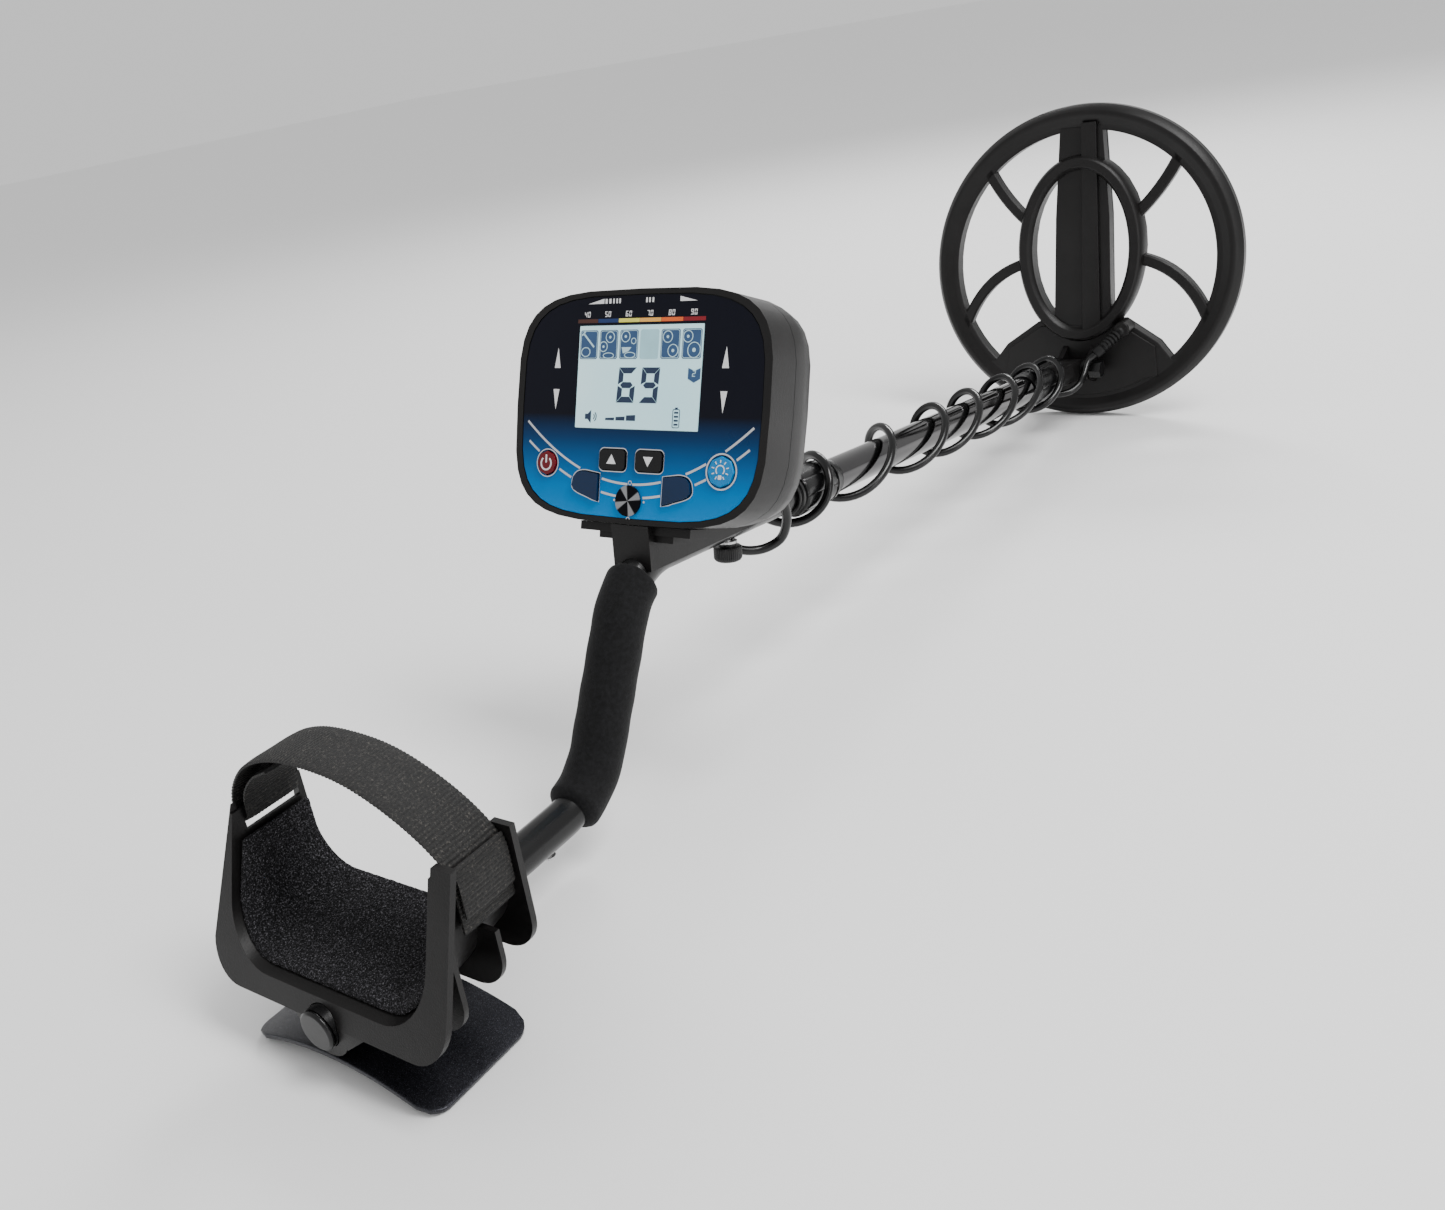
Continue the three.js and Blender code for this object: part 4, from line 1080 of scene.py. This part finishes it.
def add_prints():
    """White, silver and coloured print on the overlay."""
    white = []
    for side in (-1, 1):
        x = side * 51
        white.append(prism([(x - 1.9, 4.5), (x + 1.9, 4.5), (x, 14.5)], *PRINT))
        white.append(prism([(x - 1.9, -6.2), (x, -16.4), (x + 1.9, -6.2)], *PRINT))
    white.append(prism([(-33, 36), (-23, 36), (-23, 38.4)], *PRINT))
    white.append(prism([(33, 36), (23, 38.4), (23, 36)], *PRINT))
    for i, x in enumerate((-21.6, -19.2, -17, -15, -13.2, 3.2, 5, 7)):
        wide = 0.9 if i not in (0, 1) else 1.3
        white.append(prism(rectangle(x - wide / 2, 36, x + wide / 2, 38.3), *PRINT))
    for i in range(6):
        x = -35 + 12.9 * i
        white.append(digit(str(4 + i), x, 29.5, 1.5, 2.7, 0.4, *PRINT))
        white.append(digit("0", x + 2.1, 29.5, 1.5, 2.7, 0.4, *PRINT))
    piece("panel_white_print", merged(white), "white", "handle")
    tones = [
        (0.06, 0.02, 0.015), (0.01, 0.03, 0.12), (0.8, 0.75, 0.1), (0.85, 0.42, 0.08), (0.75, 0.12, 0.02),
        (0.22, 0.008, 0.015),
    ]
    names = ("brown", "navy", "yellow", "orange", "red", "crimson")
    for i, (name, tone) in enumerate(zip(names, tones)):
        MATERIALS[name] = ink("scale_" + name, tone)
        x = -39 + 12.9 * i
        piece("scale_" + name, prism(rectangle(x, 26.7, x + 12.7, 28.6), *PRINT), name, "handle")
    silver = []
    for base, rise, reach in ((-52.4, 30.5, 69), (-59.0, 28, 67.5)):
        line = [(reach * (2 * i / 280 - 1), 0) for i in range(281)]
        line = [(x, base + rise * (x / 70) ** 2) for x, _ in line]
        silver += [band(points, 1.15, *PRINT) for points in clear_runs(line)]
    for y in (-51.6, -69.6):
        silver.append(loop(circle(-0.5, y, 0.75, 16), 0.4, *PRINT))
    for x in (-9.6, 8.6):
        silver.append(prism(circle(x, -60.6, 0.6, 16), *PRINT))
    silver.append(loop(circle(*POWER_AT, 6.8), 0.55, PRINT[0], 1.5))
    silver.append(loop(circle(*LIGHT_AT, 8.0), 0.8, PRINT[0], 1.6))
    for place in ARROWS_AT:
        silver.append(loop(rounded(16.8, 11.2, 2.5, *place), 0.45, PRINT[0], 1.3))
    for side in (-1, 1):
        silver.append(loop(leaf(side, 0.08, 0.08), 0.45, PRINT[0], 1.3))
    piece("panel_silver_print", merged(silver), "silver", "handle")


def covered(x, y):
    """Whether a key or the badge stands at this place on the panel, with a little room round it."""
    for (cx, cy), r in ((POWER_AT, 8.1), (LIGHT_AT, 9.5), (BADGE_AT, 8.3)):
        if math.hypot(x - cx, y - cy) < r:
            return True
    for side in (-1, 1):
        outline = leaf(side, 0.2, 0.22)
        inside = False
        for (x0, y0), (x1, y1) in zip(outline, outline[1:] + outline[:1]):
            if (y0 > y) != (y1 > y) and x < x0 + (y - y0) * (x1 - x0) / (y1 - y0):
                inside = not inside
        if inside:
            return True
    return False


def clear_runs(line):
    """The stretches of a line that no key or badge covers."""
    runs = [[]]
    for x, y in line:
        if covered(x, y):
            runs.append([])
        else:
            runs[-1].append((x, y))
    return [run for run in runs if len(run) > 4]


def add_key_marks():
    """The marks on the keys: power, lamp and two arrows. The side keys stay plain."""
    angles = [math.radians(a) for a in range(40, 321, 14)]
    ring = [(-54 + 3.3 * math.sin(a), -44.3 + 3.3 * math.cos(a)) for a in angles]
    power = [band(ring, 0.85, *ON_KEY), prism(rectangle(-54.45, -43.9, -53.55, -39.8), *ON_KEY)]
    lamp_x, lamp_y = 53, -43
    glass = circle(lamp_x, lamp_y, 2.3, 24)
    bulb = [band(glass[-3:] + glass[:16], 0.55, *ON_KEY)]
    bulb.append(prism(rounded(1.9, 2.1, 0.4, lamp_x, lamp_y - 3.4), *ON_KEY))
    for i in range(9):
        a = math.radians(-60 + 37.5 * i)
        x, y = math.cos(a), math.sin(a)
        ray = [(lamp_x + 3.5 * x, lamp_y + 3.5 * y), (lamp_x + 4.9 * x, lamp_y + 4.9 * y)]
        bulb.append(band(ray, 0.5, *ON_KEY))
    marks = {
        "power_mark": (power, "key_power"),
        "lamp_mark": (bulb, "key_light"),
        "up_mark": ([prism([(-14.6, -42.8), (-8.8, -42.8), (-11.7, -38)], *ON_KEY)], "key_up"),
        "down_mark": ([prism([(7.9, -38.5), (10.8, -43.3), (13.7, -38.5)], *ON_KEY)], "key_down"),
    }
    for name, (parts, body) in marks.items():
        piece(name, merged(parts), "white", body)


def add_display_symbols():
    """The display's numbers and icons."""
    dark = [
        digit("6", -12.2, -12.4, 10.6, 17.2, 2.9, *GLASS), digit("9", 1.9, -12.4, 10.6, 17.2, 2.9, *GLASS),
    ]
    for i, h in enumerate((1.1, 1.7, 2.6)):
        x = -18.4 + 6.5 * i
        dark.append(prism([(x, -21.2), (x + 5.6, -21.2), (x + 5.6, -20.9 + h), (x, -21.2 + h)], *GLASS))
    dark.append(
        prism(
            [
                (-31.4, -20.9), (-29.7, -20.9), (-27.6, -22.9), (-27.6, -16.3), (-29.7, -18.3),
                (-31.4, -18.3),
            ],
            *GLASS,
        )
    )
    for r in (1.6, 2.8):
        dark.append(band(arc(-27, -19.6, r, range(-50, 51, 12)), 0.5, *GLASS))
    dark.append(loop(rounded(3.6, 8.4, 0.6, 24.6, -19.5), 0.35, *GLASS))
    for i in range(4):
        dark.append(prism(rounded(2.4, 0.9, 0.2, 24.6, -22.4 + 1.9 * i), *GLASS))
    dark.append(prism(rectangle(23.8, -15, 25.4, -14.2), *GLASS))
    piece("display_figures", merged(dark), "lcd_dark", "handle")
    tiles, pale = [], []
    for i in range(6):
        x = -31.3 + 12.5 * i
        if i == 3:
            piece(
                "display_faint_tile", prism(rounded(11.2, 14.2, 1.2, x, 16), *GLASS), "lcd_faint",
                "handle",
            )
            continue
        tiles.append(prism(rounded(11.2, 14.2, 1.2, x, 16), *GLASS))
        pale.append(loop(rounded(10, 13, 1, x, 16), 0.25, GLASS[1], GLASS[1] + 0.05))
    tiles.append(
        prism([(30, 4.6), (33.6, 3.2), (37.1, 4.6), (37.1, -0.6), (33.6, -2.4), (30, -0.6)], *GLASS)
    )
    top = (GLASS[1], GLASS[1] + 0.08)
    marks = [
        (-18, 19.6, 2.4), (-22, 15, 2.2), (-8.4, 19.8, 2.4), (28.8, 19.4, 2.5), (32.6, 13, 3.4),
        (17, 19.4, 2.5), (20.4, 12.8, 2.7),
    ]
    for x, y, r in marks:
        pale.append(loop(circle(x, y, r, 28), 0.42, *top))
        pale.append(prism(circle(x, y, r * 0.3, 12), *top))
    pale.append(band([(-35, 21.6), (-28, 14.8)], 0.9, *top))
    pale.append(band([(-35.9, 20.6), (-33.9, 22.6)], 0.8, *top))
    pale.append(loop([(x * 1.25 + 8.4, y) for x, y in circle(-33.2, 12.4, 2, 24)], 0.45, *top))
    for x, y in ((-18.6, 10.6), (-5.4, 10.8)):
        pale.append(
            loop([(x + 1.9 * (px - x), y + 0.7 * (py - y)) for px, py in circle(x, y, 1.6, 24)], 0.4, *top)
        )
    pale.append(loop(circle(-3.4, 17.6, 1.2, 16), 0.4, *top))
    pale.append(prism([(-10.6, 14.6), (-4.6, 14.6), (-6.4, 12.6), (-9.6, 11.6)], *top))
    pale.append(digit("2", 32.4, 0.4, 1.9, 3, 0.45, *top))
    piece("display_tiles", merged(tiles), "lcd_tile", "handle")
    piece("display_icons", merged(pale), "lcd_pale", "handle")


# ---------------------------------------------------------------- search coil
def oval_band(profile, a=52, b=76, cy=12.6, sides=180):
    """A ring of (inset, z) points round the inner oval's edge."""
    verts = []
    for i in range(sides):
        t = 2 * math.pi * i / sides
        x, y = a * math.cos(t), b * math.sin(t)
        out = Vector((math.cos(t) / a, math.sin(t) / b)).normalized()
        for inset, z in profile:
            verts.append(COIL @ Vector((x - out.x * inset, cy + y - out.y * inset, z)))
    return verts, ring_faces(sides, len(profile))


def arc_through(a, b, c, count=18):
    """Points of the quadratic curve that passes a, b and c."""
    control = [(4 * q - p - r) / 2 for p, q, r in zip(a, b, c)]
    points = []
    for i in range(count + 1):
        t = i / count
        w = ((1 - t) ** 2, 2 * t * (1 - t), t * t)
        points.append(tuple(w[0] * p + w[1] * q + w[2] * r for p, q, r in zip(a, control, c)))
    return points


def spoke(side, points):
    """A curved spoke with a chamfered section, from the rim to the oval."""
    line = [(side * x, y) for x, y in arc_through(*points)]
    section = [(-4.5, -4), (4.5, -4), (4.5, 2.6), (3.2, 4), (-3.2, 4), (-4.5, 2.6)]
    verts = []
    last, count = len(line) - 1, len(section)
    for i, (x, y) in enumerate(line):
        way = (Vector(line[min(i + 1, last)]) - Vector(line[max(i - 1, 0)])).normalized()
        for across, z in section:
            verts.append(COIL @ Vector((x + way.y * across, y - way.x * across, z)))
    faces = sleeve_faces(last, count)
    faces += [tuple(range(count)), tuple(last * count + k for k in range(count))[::-1]]
    return verts, faces


def bevelled(obj, width, segments=3):
    """Rounds an object's hard edges."""
    bevel = obj.modifiers.new("bevel", "BEVEL")
    bevel.width = width
    bevel.segments = segments
    bevel.limit_method = "ANGLE"
    bevel.angle_limit = math.radians(32)
    apply_modifiers(obj)
    smooth_by_angle(obj, 38)
    weigh_normals(obj)


def add_coil():
    """The open search coil: a stepped rim, an inner oval, a bridge, four spokes and a hinge plate."""
    rim = [
        (107.5, -6), (126.6, -6), (127, -5.6), (127, 1.2), (126.2, 2.4), (122.6, 7), (121.6, 7.5),
        (118.6, 7.5),
    ]
    rim += [(117.6, 7.1), (112.6, 4.4), (111.6, 4), (108, 4), (107.5, 3.5), (107.5, -6)]
    oval = [
        (0.4, -6), (0, -5.6), (0, 5.2), (2.4, 9.4), (3.4, 10), (8.6, 10), (9.6, 9.4), (12, 5.4), (12, -5.6),
        (11.6, -6),
    ]
    round_parts = [lathe(rim, COIL, 220), oval_band(oval)]
    for side in (-1, 1):
        round_parts.append(spoke(side, [(79.5, 86), (65, 61), (44.5, 38)]))
        round_parts.append(spoke(side, [(102.5, -48.5), (80, -14), (46.5, 3.6)]))
    piece(
        "coil_ring", merged(round_parts), "charcoal_plastic", "coil", ("coil_shell",),
        30,
    )
    bridge = [(-22, -58), (26, -58), (24, 40), (18, 110), (-16, 110), (-20, 40)]
    strip = [(3, -58), (18, -58), (14, 113), (2, 113)]
    plate = [(-36, -46), (36, -46), (64, -65), (75, -79)]
    plate += arc(0, 0, 114, range(-44, -137, -4))
    plate += [(-75, -79), (-64, -65)]
    raised = [(-34, -50), (34, -50), (62, -68), (64.5, -93)]
    raised += arc(0, 0, 109.5, range(-60, -121, -4))
    raised += [(-64.5, -93), (-62, -68)]
    flat = merged([
        prism(bridge, -6, 4.5, COIL),
        prism(strip, 0, 7.5, COIL),
        prism(plate[::-1], -6, 4.4, COIL),
        prism(raised[::-1], 0, 5.4, COIL),
    ])
    bevelled(
        piece("coil_bridge", flat, "charcoal_plastic", "coil", ("coil_shell",)), 0.0007,
    )
    ears = []
    for side in (-1, 1):
        rise = arc(-HINGE_DROP, HINGE_RISE, 9, range(-18, 199, 9))
        outline = [(-HINGE_DROP + 17, 4)] + rise + [(-HINGE_DROP - 15, 4)]
        near, far = side * 9.8, side * 14.2
        verts = [COIL @ Vector((x, y, z)) for x in (near, far) for y, z in outline]
        count = len(outline)
        faces = [tuple(range(count)), tuple(range(count, 2 * count))[::-1]]
        faces += [(i, (i + 1) % count, count + (i + 1) % count, count + i) for i in range(count)]
        ears.append((verts, faces))
    bevelled(
        piece("coil_ears", merged(ears), "charcoal_plastic", "coil", ("coil_shell",)),
        0.0005,
    )
    boss = [(0, 3), (7.4, 3), (6.6, 5.4), (6.5, 15.6), (5.6, 16.9), (0, 17)]
    piece(
        "cable_boss", lathe(boss, COIL @ Matrix.Translation((38, -52, 0)), 48), "charcoal_plastic",
        "coil", ("coil_shell",), 30,
    )


# ---------------------------------------------------------------- finishes of the CAD nodes
FINISHES = {
    "armrest_cradle": ("charcoal_plastic", 0.0006),
    "box_front": ("charcoal_plastic", 0.0007),
    "box_back": ("charcoal_plastic", 0.0005),
    "box_bracket": ("charcoal_plastic", 0.0005),
    "coil_cover": ("black_plastic", 0.0004),
    "lower_rod": ("charcoal_plastic", 0.0005),
    "battery_door": ("charcoal_plastic", 0.0005),
    "hinge_nut": ("black_plastic", 0.0006),
    "hinge_bolt": ("black_plastic", 0.0004),
    "upper_bush": ("black_plastic", 0.0003),
    "lower_bush": ("black_plastic", 0.0003),
    "tube_end_cap": ("black_plastic", 0.0004),
    "key_power": ("key_red", 0.0005),
    "key_light": ("key_bright", 0.0005),
    "key_up": ("key_black", 0.0004),
    "key_down": ("key_black", 0.0004),
    "key_sensitivity": ("key_blue", 0.0004),
    "key_mode": ("key_blue", 0.0004),
}
OWN_MATERIAL = {"badge": "badge"}  # nodes whose material isn't the one named after their slot


def dress_frame():
    """Rounds the CAD's hard parts and gives every other node its material."""
    of_node = {part["node"]: part["material_slot"] for part in frame["record"]["subparts"]}
    for node, (material, width) in FINISHES.items():
        refined(node, material, width)
    for node, obj in frame["nodes"].items():
        if obj.hide_render:
            continue
        obj.data.materials.clear()
        obj.data.materials.append(MATERIALS[OWN_MATERIAL.get(node, of_node[node])])


add_camera()
add_cable()
add_gland()
add_stage()
add_tubes()
add_grip()
add_collar("ribbed_upper_collar", "upper_collar", 152, 196)
add_collar("ribbed_lower_collar", "lower_collar", 572, 533)
add_knob()
add_pad()
add_strap()
add_stand()
add_prints()
add_key_marks()
add_display_symbols()
add_coil()
dress_frame()
